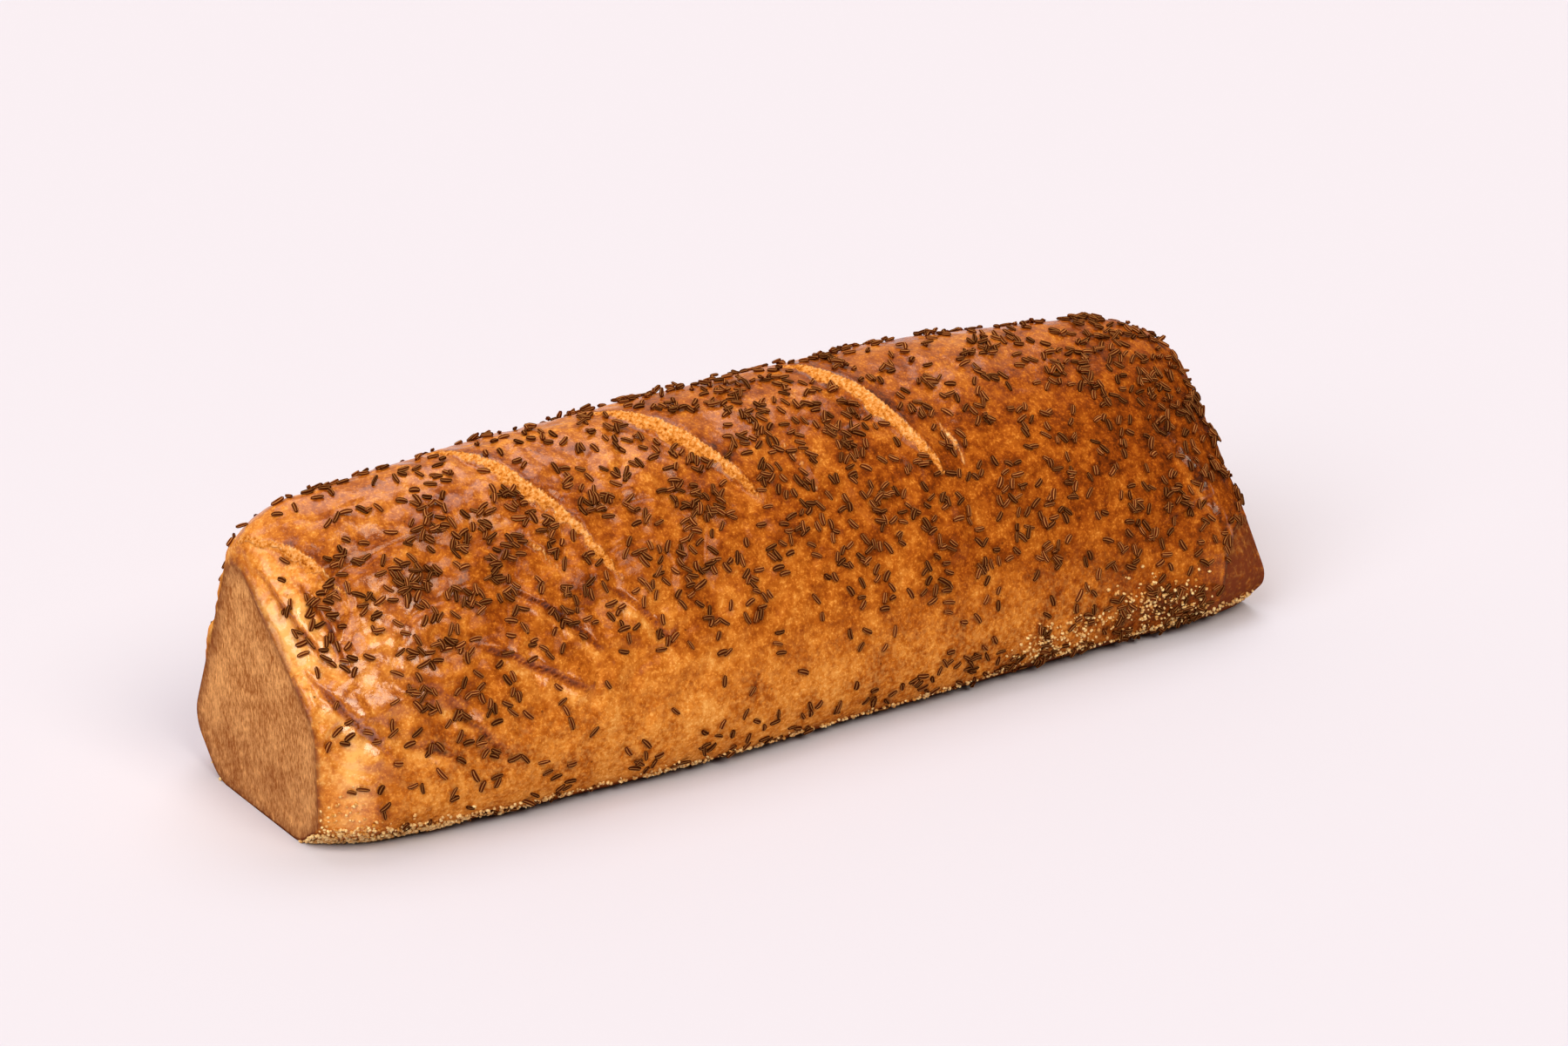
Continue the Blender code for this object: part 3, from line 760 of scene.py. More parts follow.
    def plum(self):
        """Purple-brown scorch: the skirt, the right end's foot and the base's edge."""
        foot = 0.45 * ease(self.height, 0.009, 0.003)
        right = 0.7 * ease(self.x, 0.120, 0.180) * ease(self.height, 0.030, 0.010)
        rim = 0.8 * bell(LENGTH / 2 - np.abs(self.x), 0.0012)
        tip = self.skirt * ease(self.height, 0.060, 0.020)
        return np.clip(tip + np.maximum(foot, right) + rim, 0, 1)

    def singe(self, seeds):
        """Painted shade round each seed, darkening the crust where the seed sits on it."""
        tree = kdtree.KDTree(len(seeds))
        for index, (place, *_) in enumerate(seeds):
            tree.insert(place, index)
        tree.balance()
        near = [tree.find(point)[2] for point in self.points.reshape(-1, 3)]
        return bell(np.array(near).reshape(self.x.shape), SEED_SHADE_REACH)


SHAPED = {}


def shaped_crust(settings):
    """The crust for these settings, worked out once."""
    if settings.lumps not in SHAPED:
        SHAPED[settings.lumps] = Crust(settings)
    return SHAPED[settings.lumps]


def shaped_seeds(crust, settings):
    """The places of the seeds for these settings, worked out once."""
    key = (settings.share, settings.length, settings.width)
    if key not in SHAPED:
        SHAPED[key] = place_seeds(crust, settings)
    return SHAPED[key]


def end_rings(rim, count, outward, shift):
    """The rings of an end face from its rim inward, and the point in its middle."""
    middle = rim.mean(axis=0)
    inward = (np.arange(1, count) / count)[:, None]
    rows = middle + (rim - middle) * (1.0 - inward**END_SPACING)[:, :, None]
    depth = noise_at(rows, END_LUMPS, shift) * np.minimum(1.0, inward * 6)
    rows[:, :, 0] += outward * (depth - END_HOLLOW * np.minimum(1.0, inward * 5))
    middle[0] = rows[-1, :, 0].mean()
    return rows, middle


def inward_of(count, left, right):
    """How far in from its rim each ring of an end face lies, to 1, and 0 for the crust."""
    inward = np.zeros((count, 1))
    inward[:left, 0] = np.arange(left, 0, -1) / left
    inward[count - right :, 0] = np.arange(1, right + 1) / right
    return inward


def face_scorch(inward, height):
    """Scorch of an end face: a band inside its rim, and its foot."""
    band = 0.75 * (1.0 - smooth_step(inward / 0.30)) + 0.04
    return np.maximum(band, 0.36 * ease(height, 0.050, 0.010))


def deselect_all():
    """Leave object mode with nothing selected."""
    if bpy.context.object and bpy.context.object.mode != "OBJECT":
        bpy.ops.object.mode_set(mode="OBJECT")
    bpy.ops.object.select_all(action="DESELECT")


def take_new(name):
    """The object that was just added, under its own name."""
    item = bpy.context.active_object
    item.name = name
    item.data.name = name
    return item


def apply_all(item):
    """Apply the modifiers of the active object."""
    for modifier in list(item.modifiers):
        bpy.ops.object.modifier_apply(modifier=modifier.name)


def set_points(item, points):
    """Move every vertex of an object's mesh."""
    item.data.vertices.foreach_set("co", np.asarray(points, dtype=np.float32).ravel())
    item.data.update()


def get_points(item):
    """Every vertex of an object's mesh."""
    points = np.empty(len(item.data.vertices) * 3, dtype=np.float32)
    item.data.vertices.foreach_get("co", points)
    return points.reshape(-1, 3).astype(float)


def add_field(item, name, values):
    """Keep a number for every vertex, for the material to read."""
    field = item.data.attributes.new(name, "FLOAT", "POINT")
    field.data.foreach_set("value", np.asarray(values, dtype=np.float32).ravel())


def add_node(tree, kind, inputs=None, stops=None, output=0, **settings):
    """Add a node with its settings, feed each input a value or a socket, and give an output."""
    item = tree.nodes.new("ShaderNode" + kind)
    for name, value in settings.items():
        setattr(item, name, value)
    for name, value in (inputs or {}).items():
        if isinstance(value, bpy.types.NodeSocket):
            tree.links.new(value, item.inputs[name])
        else:
            item.inputs[name].default_value = value
    for index, (place, shade) in enumerate(stops or []):
        ramp = item.color_ramp.elements
        stop = ramp[index] if index < 2 else ramp.new(place)
        stop.position = place
        stop.color = (*shade, 1.0)
    return item.outputs[output] if item.outputs else None


def new_material(name):
    """An empty material, and the function that adds a node to it."""
    material = bpy.data.materials.new(name)
    material.use_nodes = True
    material.node_tree.nodes.clear()
    return material, partial(add_node, material.node_tree)


def wear(item, material):
    """Give a piece its only material."""
    item.data.materials.clear()
    item.data.materials.append(material)


# Noises of the crust's colour and relief: length of the waves, detail and roughness
CRUST_NOISES = {
    "mottle": (0.012, 3.0, 0.55),
    "blister": (0.0026, 3.0, 0.55),
    "speck": (0.0009, 2.0, 0.55),
    "flour": (0.0016, 4.0, 0.55),
    "char": (0.003, 4.0, 0.55),
    "torn pores": (0.0012, 4.0, 0.60),
    "face pores": (0.0009, 4.0, 0.70),
    "face clouds": (0.014, 2.0, 0.55),
}
FACE_DRAWN = (1.0, 1.0, 0.40)  # the rising dough drew the pores of the end faces upward

# What is worked out from the noises and the crust's fields, in order. STEP rises smoothly from
# 0 to 1 between two values.
CRUST_MASKS = [
    ("specks", "STEP", "speck", 0.50, 0.68),
    ("level", "SUBTRACT", "bake", 0.79),
    ("level", "MULTIPLY_ADD", "mottle", 0.85, "level"),
    ("level", "MULTIPLY_ADD", "blister", 0.75, "level"),
    ("level", "MULTIPLY_ADD", "specks", -0.20, "level"),
    # painted shade round the seeds darkens the crust
    ("level", "MULTIPLY_ADD", "singe", 0.16, "level"),
    # Dark pin holes, flour dust of the low side, and scorch
    ("pins", "STEP", "pins", 0.13, 0.05),
    ("mottled", "STEP", "mottle", 0.50, 0.60),
    ("pins", "MULTIPLY", "pins", "mottled"),
    ("pins", "MULTIPLY", "pins", 0.7),
    ("flour", "STEP", "flour", 0.40, 0.68),
    ("flour", "MULTIPLY", "flour", "matt"),
    ("flour", "MULTIPLY", "flour", 0.45),
    ("char", "STEP", "char", 0.15, 0.60),
    ("char", "MULTIPLY", "char", "plum"),
    # Torn crumb and end faces
    ("torn", "MULTIPLY_ADD", "blister", 1.2, "crumb"),
    ("torn", "STEP", "torn", 0.85, 1.35),
    ("torn level", "MULTIPLY_ADD", "glazed", -0.11, "torn pores"),
    ("face level", "SUBTRACT", "face pores", 0.25),
    ("face level", "MULTIPLY_ADD", "face clouds", 0.5, "face level"),
    # Relief too fine for the mesh, in metres, of the crust and of its glaze
    ("torn pores", "MULTIPLY", "torn pores", "torn"),
    ("face pores", "MULTIPLY", "face pores", "face"),
    ("relief", "MULTIPLY", "blister", 0.00050),
    ("relief", "MULTIPLY_ADD", "speck", 0.00012, "relief"),
    ("relief", "MULTIPLY_ADD", "torn pores", 0.0006, "relief"),
    ("relief", "MULTIPLY_ADD", "face pores", 0.0007, "relief"),
    ("glaze relief", "MULTIPLY", "blister", 0.00014),
    ("glaze relief", "MULTIPLY_ADD", "speck", 0.00006, "glaze relief"),
    # Roughness and glaze
    ("dull", "MAXIMUM", "torn", "face"),
    ("dull", "MAXIMUM", "dull", "matt"),
    ("rough", "STEP", "dull", -0.6, 1.0),
    ("shiny", "SUBTRACT", 1.0, "dull"),
    ("mottled", "STEP", "mottle", 0.40, 0.70),
    ("glaze", "MULTIPLY_ADD", "mottled", 0.10, "glaze"),
    ("blistered", "STEP", "blister", 0.20, 0.50),
    ("glaze", "MULTIPLY", "glaze", "blistered"),
    ("glaze", "MULTIPLY", "glaze", "shiny"),
]


def baked_crust(settings):
    """Baked rye crust: maillard brown, mottled by blisters, under a thin starch glaze, with the
    painted shade and highlight of the crust's fields.
    """
    material, add = new_material("baked rye crust")
    place = add("TexCoord", output="Object")
    drawn = add("Mapping", {"Vector": place, "Scale": FACE_DRAWN})
    mask = {"pins": add("TexVoronoi", {"Vector": place, "Scale": 210.0}, output="Distance")}
    for name in ("bake", "crumb", "glazed", "face", "plum", "matt", "singe", "glaze"):
        mask[name] = add("Attribute", attribute_name=name, output="Fac")
    for name, (length, detail, rough) in CRUST_NOISES.items():
        vector = drawn if name == "face pores" else place
        inputs = {"Vector": vector, "Scale": 1.0 / length, "Detail": detail, "Roughness": rough}
        mask[name] = add("TexNoise", inputs, output="Fac")
    for name, operation, *values in CRUST_MASKS:
        values = [mask.get(value, value) for value in values]
        if operation == "STEP":
            inputs = dict(zip(("Value", "From Min", "From Max"), values))
            mask[name] = add("MapRange", inputs, interpolation_type="SMOOTHSTEP")
        else:
            mask[name] = add("Math", dict(enumerate(values)), operation=operation)

    ramps = {
        "level": [
            (0.0, settings.pale),
            (0.30, settings.golden),
            (0.52, settings.amber),
            (0.74, settings.brown),
            (1.0, settings.umber),
        ],
        "torn level": [
            (0.24, settings.crumb_shade),
            (0.40, settings.golden),
            (0.56, settings.crumb),
            (0.72, settings.crumb_light),
        ],
        "face level": [(0.34, settings.face_shade), (0.66, settings.face)],
    }
    crust, torn, face = [
        add("ValToRGB", {0: mask[name]}, stops) for name, stops in ramps.items()
    ]
    plum = (*settings.plum, 1.0)
    face = add("Mix", {0: mask["char"], 6: face, 7: plum}, output=2, data_type="RGBA")
    layers = [
        ("pins", (*settings.umber, 1.0)),
        ("flour", (*settings.pale, 1.0)),
        ("char", plum),
        ("torn", torn),
        ("face", face),
    ]
    for name, shade in layers:
        crust = add("Mix", {0: mask[name], 6: crust, 7: shade}, output=2, data_type="RGBA")

    bump = {"Distance": 1.0, "Strength": 1.0}
    glaze = add("Math", {0: mask["glaze"], 1: settings.glaze}, operation="MULTIPLY")
    inputs = {
        "Base Color": crust,
        "Roughness": mask["rough"],
        "IOR": 1.45,
        "Specular IOR Level": 0.0,
        "Normal": add("Bump", {"Height": mask["relief"], **bump}),
        "Coat Weight": glaze,
        "Coat Roughness": 0.20,
        "Coat IOR": 1.55,
        "Coat Normal": add("Bump", {"Height": mask["glaze relief"], **bump}),
    }
    add("OutputMaterial", {"Surface": add("BsdfPrincipled", inputs)})
    return material


def caraway_husk(settings):
    """Dried caraway husk: dull brown between pale ribs."""
    material, add = new_material("dried caraway husk")
    rib, tone = [add("Attribute", attribute_name=name, output="Fac") for name in ("rib", "tone")]
    thin = add("Math", {0: rib, 1: 3.2}, operation="POWER")
    inputs = {0: thin, 6: (*settings.husk, 1.0), 7: (*settings.rib, 1.0)}
    shade = add("Mix", inputs, output=2, data_type="RGBA")
    value = add("MapRange", {"Value": tone, "To Min": 0.50, "To Max": 1.35})
    shade = add("HueSaturation", {"Color": shade, "Value": value})
    inputs = {"Base Color": shade, "Roughness": 0.7, "Specular IOR Level": 0.0}
    add("OutputMaterial", {"Surface": add("BsdfPrincipled", inputs)})
    return material


def milled_corn(settings):
    """Coarse cornmeal: horny yellow grains and floury white ones."""
    material, add = new_material("milled corn")
    tone = add("Attribute", attribute_name="tone", output="Fac")
    shade = add("ValToRGB", {0: tone}, [(0.0, settings.yellow), (1.0, settings.white)])
    inputs = {"Base Color": shade, "Roughness": 0.45, "IOR": 1.5}
    add("OutputMaterial", {"Surface": add("BsdfPrincipled", inputs)})
    return material


def studio_floor(settings):
    """Seamless matt studio paper: white, with no gloss."""
    material, add = new_material("seamless studio paper")
    place = add("TexCoord", output="Object")
    fibre = add("TexNoise", {"Vector": place, "Scale": 900.0}, output="Fac")
    relief = add("Bump", {"Height": fibre, "Distance": 0.00002, "Strength": 0.5})
    inputs = {"Base Color": (*settings.floor, 1.0), "Roughness": 0.9}
    inputs.update({"Specular IOR Level": 0.1, "Normal": relief})
    add("OutputMaterial", {"Surface": add("BsdfPrincipled", inputs)})
    return material


def chart_value(chart, columns, x, girth):
    """A value read between the rows and columns of a chart."""
    rows = sorted(chart)
    table = np.array([chart[row] for row in rows])
    by_column = np.array([np.interp(x, columns, line) for line in table])
    place = np.interp(girth, rows, np.arange(len(rows)))
    low = np.clip(place.astype(int), 0, len(rows) - 2)
    share = place - low
    index = np.arange(len(np.atleast_1d(x)))
    return by_column[low, index] * (1.0 - share) + by_column[low + 1, index] * share


def scatter(crust, density, draw):
    """Places spread by chance over the crust, so many to a square metre at each cell."""
    points = crust.points
    along = points[1:, :-1] - points[:-1, :-1]
    around = points[:-1, 1:] - points[:-1, :-1]
    area = np.linalg.norm(np.cross(along, around), axis=2)
    wanted = (density[:-1, :-1] * area).ravel()
    counts = draw.poisson(wanted)
    cells = np.repeat(np.arange(len(wanted)), counts)
    rows, columns = np.unravel_index(cells, area.shape)
    order = draw.permutation(len(rows))
    rows, columns = rows[order], columns[order]
    off = draw.random((len(rows), 2))
    return rows, columns, off


def between_corners(values, rows, columns, off):
    """Values at places inside the cells of a grid."""
    first, second = off[:, :1], off[:, 1:]
    low = values[rows, columns] * (1 - second) + values[rows, columns + 1] * second
    high = values[rows + 1, columns] * (1 - second) + values[rows + 1, columns + 1] * second
    return low * (1 - first) + high * first


def joined_copies(name, template, points):
    """One mesh that holds a copy of a template for every set of points."""
    faces = [list(face.vertices) for face in template.data.polygons]
    size = len(template.data.vertices)
    loops = np.concatenate([np.array(face) for face in faces])
    lengths = np.array([len(face) for face in faces])
    count = len(points)
    mesh = bpy.data.meshes.new(name)
    mesh.vertices.add(count * size)
    mesh.vertices.foreach_set("co", points.astype(np.float32).ravel())
    all_loops = (np.arange(count)[:, None] * size + loops[None, :]).ravel()
    all_lengths = np.tile(lengths, count)
    starts = np.concatenate([[0], np.cumsum(all_lengths)[:-1]])
    mesh.loops.add(len(all_loops))
    mesh.loops.foreach_set("vertex_index", all_loops.astype(np.int32))
    mesh.polygons.add(len(all_lengths))
    mesh.polygons.foreach_set("loop_start", starts.astype(np.int32))
    mesh.update(calc_edges=True)
    mesh.validate()
    item = bpy.data.objects.new(name, mesh)
    bpy.context.scene.collection.objects.link(item)
    return item


def one_seed():
    """One caraway seed a unit long: a ribbed spindle along X, bent into a crescent."""
    deselect_all()
    bpy.ops.mesh.primitive_uv_sphere_add(segments=2 * SEED_RIBS, ring_count=5, radius=0.5)
    seed = take_new("one_seed")
    bpy.ops.object.mode_set(mode="EDIT")
    bpy.ops.mesh.select_all(action="DESELECT")
    bpy.ops.object.mode_set(mode="OBJECT")
    for vertex in seed.data.vertices:
        turn = math.atan2(vertex.co.y, vertex.co.x) / math.tau * 2 * SEED_RIBS
        off_pole = math.hypot(vertex.co.x, vertex.co.y) > 0.01
        vertex.select = off_pole and round(turn) % 2 == 0
    bpy.ops.object.mode_set(mode="EDIT")
    bpy.ops.transform.resize(value=(0.76, 0.76, 1.0))
    bpy.ops.mesh.select_all(action="SELECT")
    bpy.ops.transform.resize(value=(0.33, 0.28, 1.0))
    bpy.ops.object.mode_set(mode="OBJECT")
    for vertex in seed.data.vertices:
        if 0.25 < abs(vertex.co.z) < 0.49:
            vertex.co.x *= SEED_FULLNESS
            vertex.co.y *= SEED_FULLNESS
    bend = seed.modifiers.new("bend", "SIMPLE_DEFORM")
    bend.deform_method = "BEND"
    bend.deform_axis = "Y"
    bend.angle = SEED_TURN
    apply_all(seed)
    points = get_points(seed)
    points -= (points.max(axis=0) + points.min(axis=0)) / 2
    set_points(seed, points[:, [2, 0, 1]])
    return seed


def place_seeds(crust, settings):
    """Middle, length direction and up direction of every seed."""
    draw = np.random.default_rng(CARAWAY_SEED)
    density = chart_value(SEED_CHART, SEED_X, crust.x.ravel(), crust.girth.ravel())
    density = density.reshape(crust.x.shape) * TO_SQUARE_METRE * SEED_PLENTY * settings.share
    size, strength = SEED_CLUSTERS
    gather = noise_at(crust.points, [(size, 1.0)], 9.0)
    gather = np.exp(strength * gather)
    density *= gather / gather.mean()
    density *= (crust.crumb < 0.05) * (crust.skirt < 0.5) * (1.0 - crust.ear)
    density *= smooth_step((LENGTH / 2 - np.abs(crust.x)) / 0.004 - 0.3)
    density *= crust.height > np.where(crust.girth > 0.0, *SEED_FOOT)
    rows, columns, off = scatter(crust, density, draw)
    middles = between_corners(crust.points, rows, columns, off)
    ups = between_corners(crust.normals, rows, columns, off)
    ups /= np.linalg.norm(ups, axis=1, keepdims=True)
    spread_of_lengths, shortest, longest = SEED_LENGTHS
    kept = []
    cells = {}
    for place, outward in zip(map(Vector, middles), map(Vector, ups)):
        spin = Matrix.Rotation(draw.uniform(0.0, math.tau), 3, outward)
        run = spin @ outward.orthogonal().normalized()
        size = float(np.clip(draw.normal(1.0, spread_of_lengths), shortest, longest))
        length = settings.length * size
        lift = settings.width * 0.40 - (SEED_SINK_LOW if place.z < SEED_LOW else SEED_SINK)
        spine = [place + run * length * share for share in SEED_SPAN]
        cell = tuple(int(value // SEED_CELL) for value in place)
        gaps = []
        for step in product((-1, 0, 1), repeat=3):
            for other in cells.get(tuple(map(sum, zip(cell, step))), []):
                gaps.append(min((a - b).length for a in spine for b in other) / SEED_TOUCH)
        crowded = any(gap < SEED_CROWDED for gap in gaps)
        heaps = sum(SEED_CROWDED <= gap < 1.0 for gap in gaps)
        if crowded and draw.random() < 0.8 or heaps > 2:
            continue
        cells.setdefault(cell, []).append(spine)
        tilt = draw.normal(0.0, SEED_TILT)
        if heaps:
            lift += SEED_HEAP
            tilt = draw.normal(0.0, SEED_HEAP_TILT)
        elif draw.random() < SEED_STANDING:
            tilt = draw.choice([-1, 1]) * draw.uniform(0.3, 0.8)
            lift += 0.3 * length * abs(math.sin(tilt))
        across = outward.cross(run)
        run = Matrix.Rotation(tilt, 3, across) @ run
        roll = Matrix.Rotation(draw.normal(0.0, SEED_ROLL), 3, run)
        up = roll @ run.cross(across).normalized()
        kept.append((place + outward * lift, run, up, length))
        if len(kept) == SEED_LIMIT:
            break
    return kept, draw


def caraway_copies(template, places, settings, draw):
    """Points of every seed, and its ribs and tone."""
    shape = get_points(template)
    shape_width = shape[:, 1].max() - shape[:, 1].min()
    turn = np.arctan2(shape[:, 2], shape[:, 1])
    count = len(places)
    points = np.empty((count, len(shape), 3))
    for index, (place, run, up, length) in enumerate(places):
        width = settings.width * draw.uniform(0.85, 1.2) / shape_width
        size = np.array([length, width, width * 0.9])
        across = up.cross(run)
        axes = np.array([run, across, up])
        points[index] = np.array(place) + (shape * size) @ axes
    ribs = np.tile(rib_field(template), count)
    low = np.array([0.55 * (place.z < SEED_LOW) for place, *_ in places])
    tones = np.repeat(draw.random(count) * (1.0 - low), len(shape))
    return points, ribs, tones


def rib_field(template):
    """1 on the ribs of a seed, and 0 between them and at its tips."""
    shape = get_points(template)
    size = 2 * SEED_RIBS
    field = np.zeros(len(shape))
    order = np.argsort(shape[:, 0])
    for start in range(1, len(shape) - 1, size):
        level = order[start : start + size]
        off = shape[level][:, 1:] - shape[level][:, 1:].mean(axis=0)
        off[:, 0] /= 1.15
        reach = np.linalg.norm(off, axis=1)
        turn = np.argsort(np.arctan2(off[:, 1], off[:, 0]))
        even = reach[turn[::2]].mean() > reach[turn[1::2]].mean()
        field[level[turn[::2]] if even else level[turn[1::2]]] = 1.0
    return field


def one_grain():
    """One grain of cornmeal a unit wide: an uneven chip."""
    deselect_all()
    bpy.ops.mesh.primitive_ico_sphere_add(subdivisions=1, radius=0.5)
    grain = take_new("one_grain")
    bpy.ops.object.mode_set(mode="EDIT")
    bpy.ops.mesh.select_all(action="SELECT")
    bpy.ops.transform.vertex_random(offset=0.14, seed=3)
    bpy.ops.transform.resize(value=(1.15, 0.95, 0.75))
    bpy.ops.object.mode_set(mode="OBJECT")
    return grain


def place_grains(crust, settings):
    """Middle of every grain of cornmeal, and its outward direction."""
    draw = np.random.default_rng(MEAL_SEED)
    rise = np.interp(crust.x, MEAL_X, MEAL_RISE)
    thick = np.interp(crust.x, MEAL_X, MEAL_THICK)
    bottom = np.interp(crust.x, *zip(*MEAL_BOTTOM))
    density = thick * bell(np.maximum(crust.height - bottom, 0.0), rise)
    for patch in MEAL_PATCHES:
        density += MEAL_PATCH_SHARE * patch_at(patch, crust.x, crust.girth)
    density *= np.where(crust.girth < 0.0, MEAL_FAR_SHARE, 1.0)
    length, strength, mean = MEAL_CLUMPS
    density *= np.exp(strength * noise_at(crust.points, [(length, 1.0)], 4.0)) / mean
    density *= (crust.height > bottom) * TO_SQUARE_METRE * settings.share
    rows, columns, off = scatter(crust, density, draw)
    rows, columns, off = [values[:MEAL_LIMIT] for values in (rows, columns, off)]
    middles = between_corners(crust.points, rows, columns, off)
    ups = between_corners(crust.normals, rows, columns, off)
    return middles, ups / np.linalg.norm(ups, axis=1, keepdims=True), draw


def remove_object(item):
    """Remove an object and its mesh."""
    mesh = item.data
    bpy.data.objects.remove(item)
    bpy.data.meshes.remove(mesh)


class LOAF_OT_add_crust(bpy.types.Operator):
    """Add the crust with its slashes, folds and end faces"""

    bl_idname = "loaf.add_crust"
    bl_label = "Add crust"

    def execute(self, context):
        settings = context.scene.loaf_crust
        crust = shaped_crust(settings)
        left, left_middle = end_rings(crust.points[0], LEFT_FACE_RINGS, -1, 11.0)
        right, right_middle = end_rings(crust.points[-1], RIGHT_FACE_RINGS, 1, 13.0)
        rows = np.concatenate([left[::-1], crust.points, right])
        size = rows.shape[1]
        deselect_all()
        bpy.ops.mesh.primitive_uv_sphere_add(segments=size, ring_count=len(rows) + 1)
        piece = take_new("loaf_crust")
        sphere = get_points(piece)
        level = np.arccos(np.clip(sphere[:, 2] / np.linalg.norm(sphere, axis=1), -1, 1))
        level = np.rint(level / math.pi * (len(rows) + 1)).astype(int)
        turn = np.arctan2(sphere[:, 1], sphere[:, 0]) / math.tau * size
        turn = np.rint(turn).astype(int) % size
        inner = np.clip(level - 1, 0, len(rows) - 1)
        points = rows[inner, turn]
        points[level == 0] = left_middle
        points[level == len(rows) + 1] = right_middle
        set_points(piece, points)
        bpy.ops.object.shade_smooth()

        places, _ = shaped_seeds(crust, context.scene.loaf_seeds)
        # Some of these fields carry painted shade and highlight as well as the crust's own colour
        fields = {
            "bake": crust.bake(),
            "crumb": crust.crumb,
            "glazed": crust.glazed,
            "plum": crust.plum(),
            "glaze": crust.glaze(),
            "singe": crust.singe(places),
            "matt": crust.matt(),
        }
        ends = (len(left), len(right))
        inward = inward_of(len(rows), *ends)
        for name, values in fields.items():
            wide = np.pad(values, (ends, (0, 0)), mode="edge")
            if name == "plum":
                wide = np.where(inward > 0.0, face_scorch(inward, rows[:, :, 2]), wide)
            add_field(piece, name, wide[inner, turn])
        add_field(piece, "face", (inward > 0.0)[inner, 0])
        wear(piece, baked_crust(settings))
        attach(piece, "root")
        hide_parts("loaf")
        return {"FINISHED"}


class LOAF_OT_add_seeds(bpy.types.Operator):
    """Add the caraway seeds that stick to the crust"""

    bl_idname = "loaf.add_seeds"
    bl_label = "Add caraway seeds"

    def execute(self, context):
        settings = context.scene.loaf_seeds
        crust = shaped_crust(context.scene.loaf_crust)
        template = one_seed()
        places, draw = shaped_seeds(crust, settings)
        points, ribs, tones = caraway_copies(template, places, settings, draw)
        points[:, :, 2] = np.maximum(points[:, :, 2], 0.0)
        piece = joined_copies("caraway_seeds", template, points)
        remove_object(template)
        add_field(piece, "rib", ribs)
        add_field(piece, "tone", tones)
        wear(piece, caraway_husk(settings))
        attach(piece, "root")
        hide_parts("loaf")
        return {"FINISHED"}


class LOAF_OT_add_meal(bpy.types.Operator):
    """Add the cornmeal that sticks to the foot of the loaf"""

    bl_idname = "loaf.add_meal"
    bl_label = "Add cornmeal"

    def execute(self, context):
        settings = context.scene.loaf_meal
        crust = shaped_crust(context.scene.loaf_crust)
        template = one_grain()
        shape = get_points(template)
        middles, ups, draw = place_grains(crust, settings)
        count = len(middles)
        points = np.empty((count, len(shape), 3))
        for index in range(count):
            axis = Vector(draw.normal(size=3)).normalized()
            spin = np.array(Matrix.Rotation(draw.uniform(0, math.tau), 3, axis))
            size = settings.size * draw.uniform(0.6, 1.45)
            middle = middles[index] + ups[index] * size * 0.25
            points[index] = middle + shape * size @ spin
        points[:, :, 2] -= np.minimum(points[:, :, 2].min(axis=1), 0.0)[:, None]
        piece = joined_copies("cornmeal", template, points)
        remove_object(template)
        add_field(piece, "tone", np.repeat(draw.random(count), len(shape)))
        wear(piece, milled_corn(settings))
        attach(piece, "root")
        return {"FINISHED"}


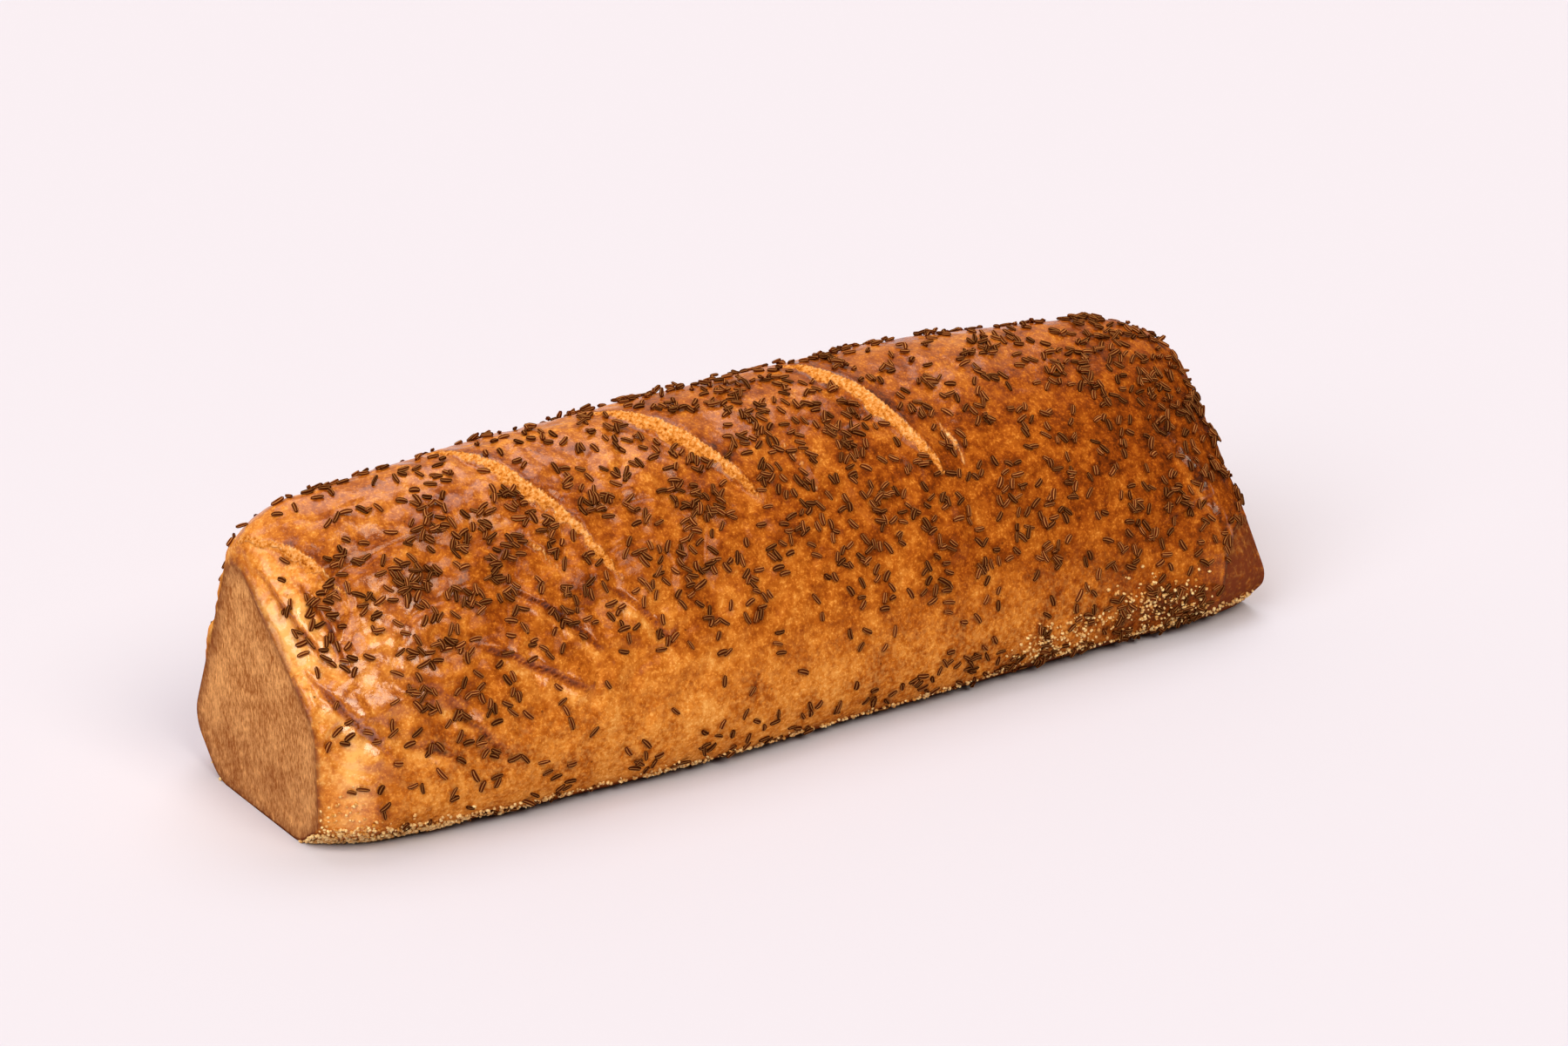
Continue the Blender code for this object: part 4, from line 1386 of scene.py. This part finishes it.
class LOAF_OT_add_stage(bpy.types.Operator):
    """Add the studio floor, the lights and the camera"""

    bl_idname = "loaf.add_stage"
    bl_label = "Add stage"

    def execute(self, context):
        settings = context.scene.loaf_stage
        deselect_all()
        bpy.ops.mesh.primitive_plane_add(size=12.0)
        floor = take_new("studio_floor")
        wear(floor, studio_floor(settings))
        self.add_lights(context.scene, settings)
        self.add_camera(context.scene, settings)
        context.scene.view_settings.view_transform = "Standard"
        context.scene.view_settings.look = "None"
        return {"FINISHED"}

    def add_lights(self, scene, settings):
        """A soft box on each side of the camera, in a dark room with a pale wall behind."""
        world = bpy.data.worlds.new("studio walls")
        world.use_nodes = True
        world.node_tree.nodes.clear()
        add = partial(add_node, world.node_tree)
        inputs = {0: add("TexCoord", output="Generated"), 1: WALL_BEHIND}
        behind = add("VectorMath", inputs, output="Value", operation="DOT_PRODUCT")
        inputs = {"Value": behind, "From Min": 0.15, "From Max": 0.85}
        inputs.update({"To Min": WALLS_ASIDE * settings.fill, "To Max": settings.fill})
        bright = add("MapRange", inputs)
        inputs = {"Color": (*linear("#ffe9d4"), 1.0), "Strength": bright}
        add("OutputWorld", {"Surface": add("Background", inputs)})
        scene.world = world
        for name, setting, place, width, code in SOFT_BOXES:
            self.add_box(scene, name, getattr(settings, setting), place, width, code)

    def add_box(self, scene, name, strength, place, width, code):
        """A soft box, seen from the loaf at a turn and a rise, and so many degrees wide."""
        turn, rise = place
        lamp = bpy.data.lights.new(name, "SUN")
        lamp.energy = strength
        lamp.angle = math.radians(width)
        lamp.color = linear(code)
        box = bpy.data.objects.new(name, lamp)
        scene.collection.objects.link(box)
        toward = direction(math.radians(turn), math.radians(rise))
        box.rotation_euler = toward.to_track_quat("Z", "Y").to_euler()

    def add_camera(self, scene, settings):
        """A camera on the loaf at the picture's angle."""
        camera = bpy.data.cameras.new("camera")
        camera.lens = settings.lens
        camera.sensor_width = 36.0
        item = bpy.data.objects.new("camera", camera)
        scene.collection.objects.link(item)
        back = direction(settings.turn, settings.rise)
        item.location = Vector(CAMERA_TARGET) + back * settings.reach
        item.rotation_euler = back.to_track_quat("Z", "Y").to_euler()
        scene.camera = item


class LOAF_PT_dressing(bpy.types.Panel):
    """The loaf's pieces and their settings"""

    bl_label = "Rye loaf"
    bl_space_type = "VIEW_3D"
    bl_region_type = "UI"
    bl_category = "Loaf"

    def draw(self, context):
        groups = [
            ("loaf.add_crust", context.scene.loaf_crust),
            ("loaf.add_seeds", context.scene.loaf_seeds),
            ("loaf.add_meal", context.scene.loaf_meal),
            ("loaf.add_stage", context.scene.loaf_stage),
        ]
        for operator, settings in groups:
            box = self.layout.box()
            for name in settings.__annotations__:
                box.prop(settings, name)
            box.operator(operator)


CLASSES = [
    CrustSettings,
    SeedSettings,
    MealSettings,
    StageSettings,
    LOAF_OT_add_crust,
    LOAF_OT_add_seeds,
    LOAF_OT_add_meal,
    LOAF_OT_add_stage,
    LOAF_PT_dressing,
]


def register():
    for item in CLASSES:
        bpy.utils.register_class(item)
    bpy.types.Scene.loaf_crust = PointerProperty(type=CrustSettings)
    bpy.types.Scene.loaf_seeds = PointerProperty(type=SeedSettings)
    bpy.types.Scene.loaf_meal = PointerProperty(type=MealSettings)
    bpy.types.Scene.loaf_stage = PointerProperty(type=StageSettings)


def unregister():
    for name in ("loaf_crust", "loaf_seeds", "loaf_meal", "loaf_stage"):
        delattr(bpy.types.Scene, name)
    for item in reversed(CLASSES):
        bpy.utils.unregister_class(item)


def main():
    register()
    bpy.ops.loaf.add_crust()
    bpy.ops.loaf.add_seeds()
    bpy.ops.loaf.add_meal()
    bpy.ops.loaf.add_stage()


if __name__ == "__main__":
    main()
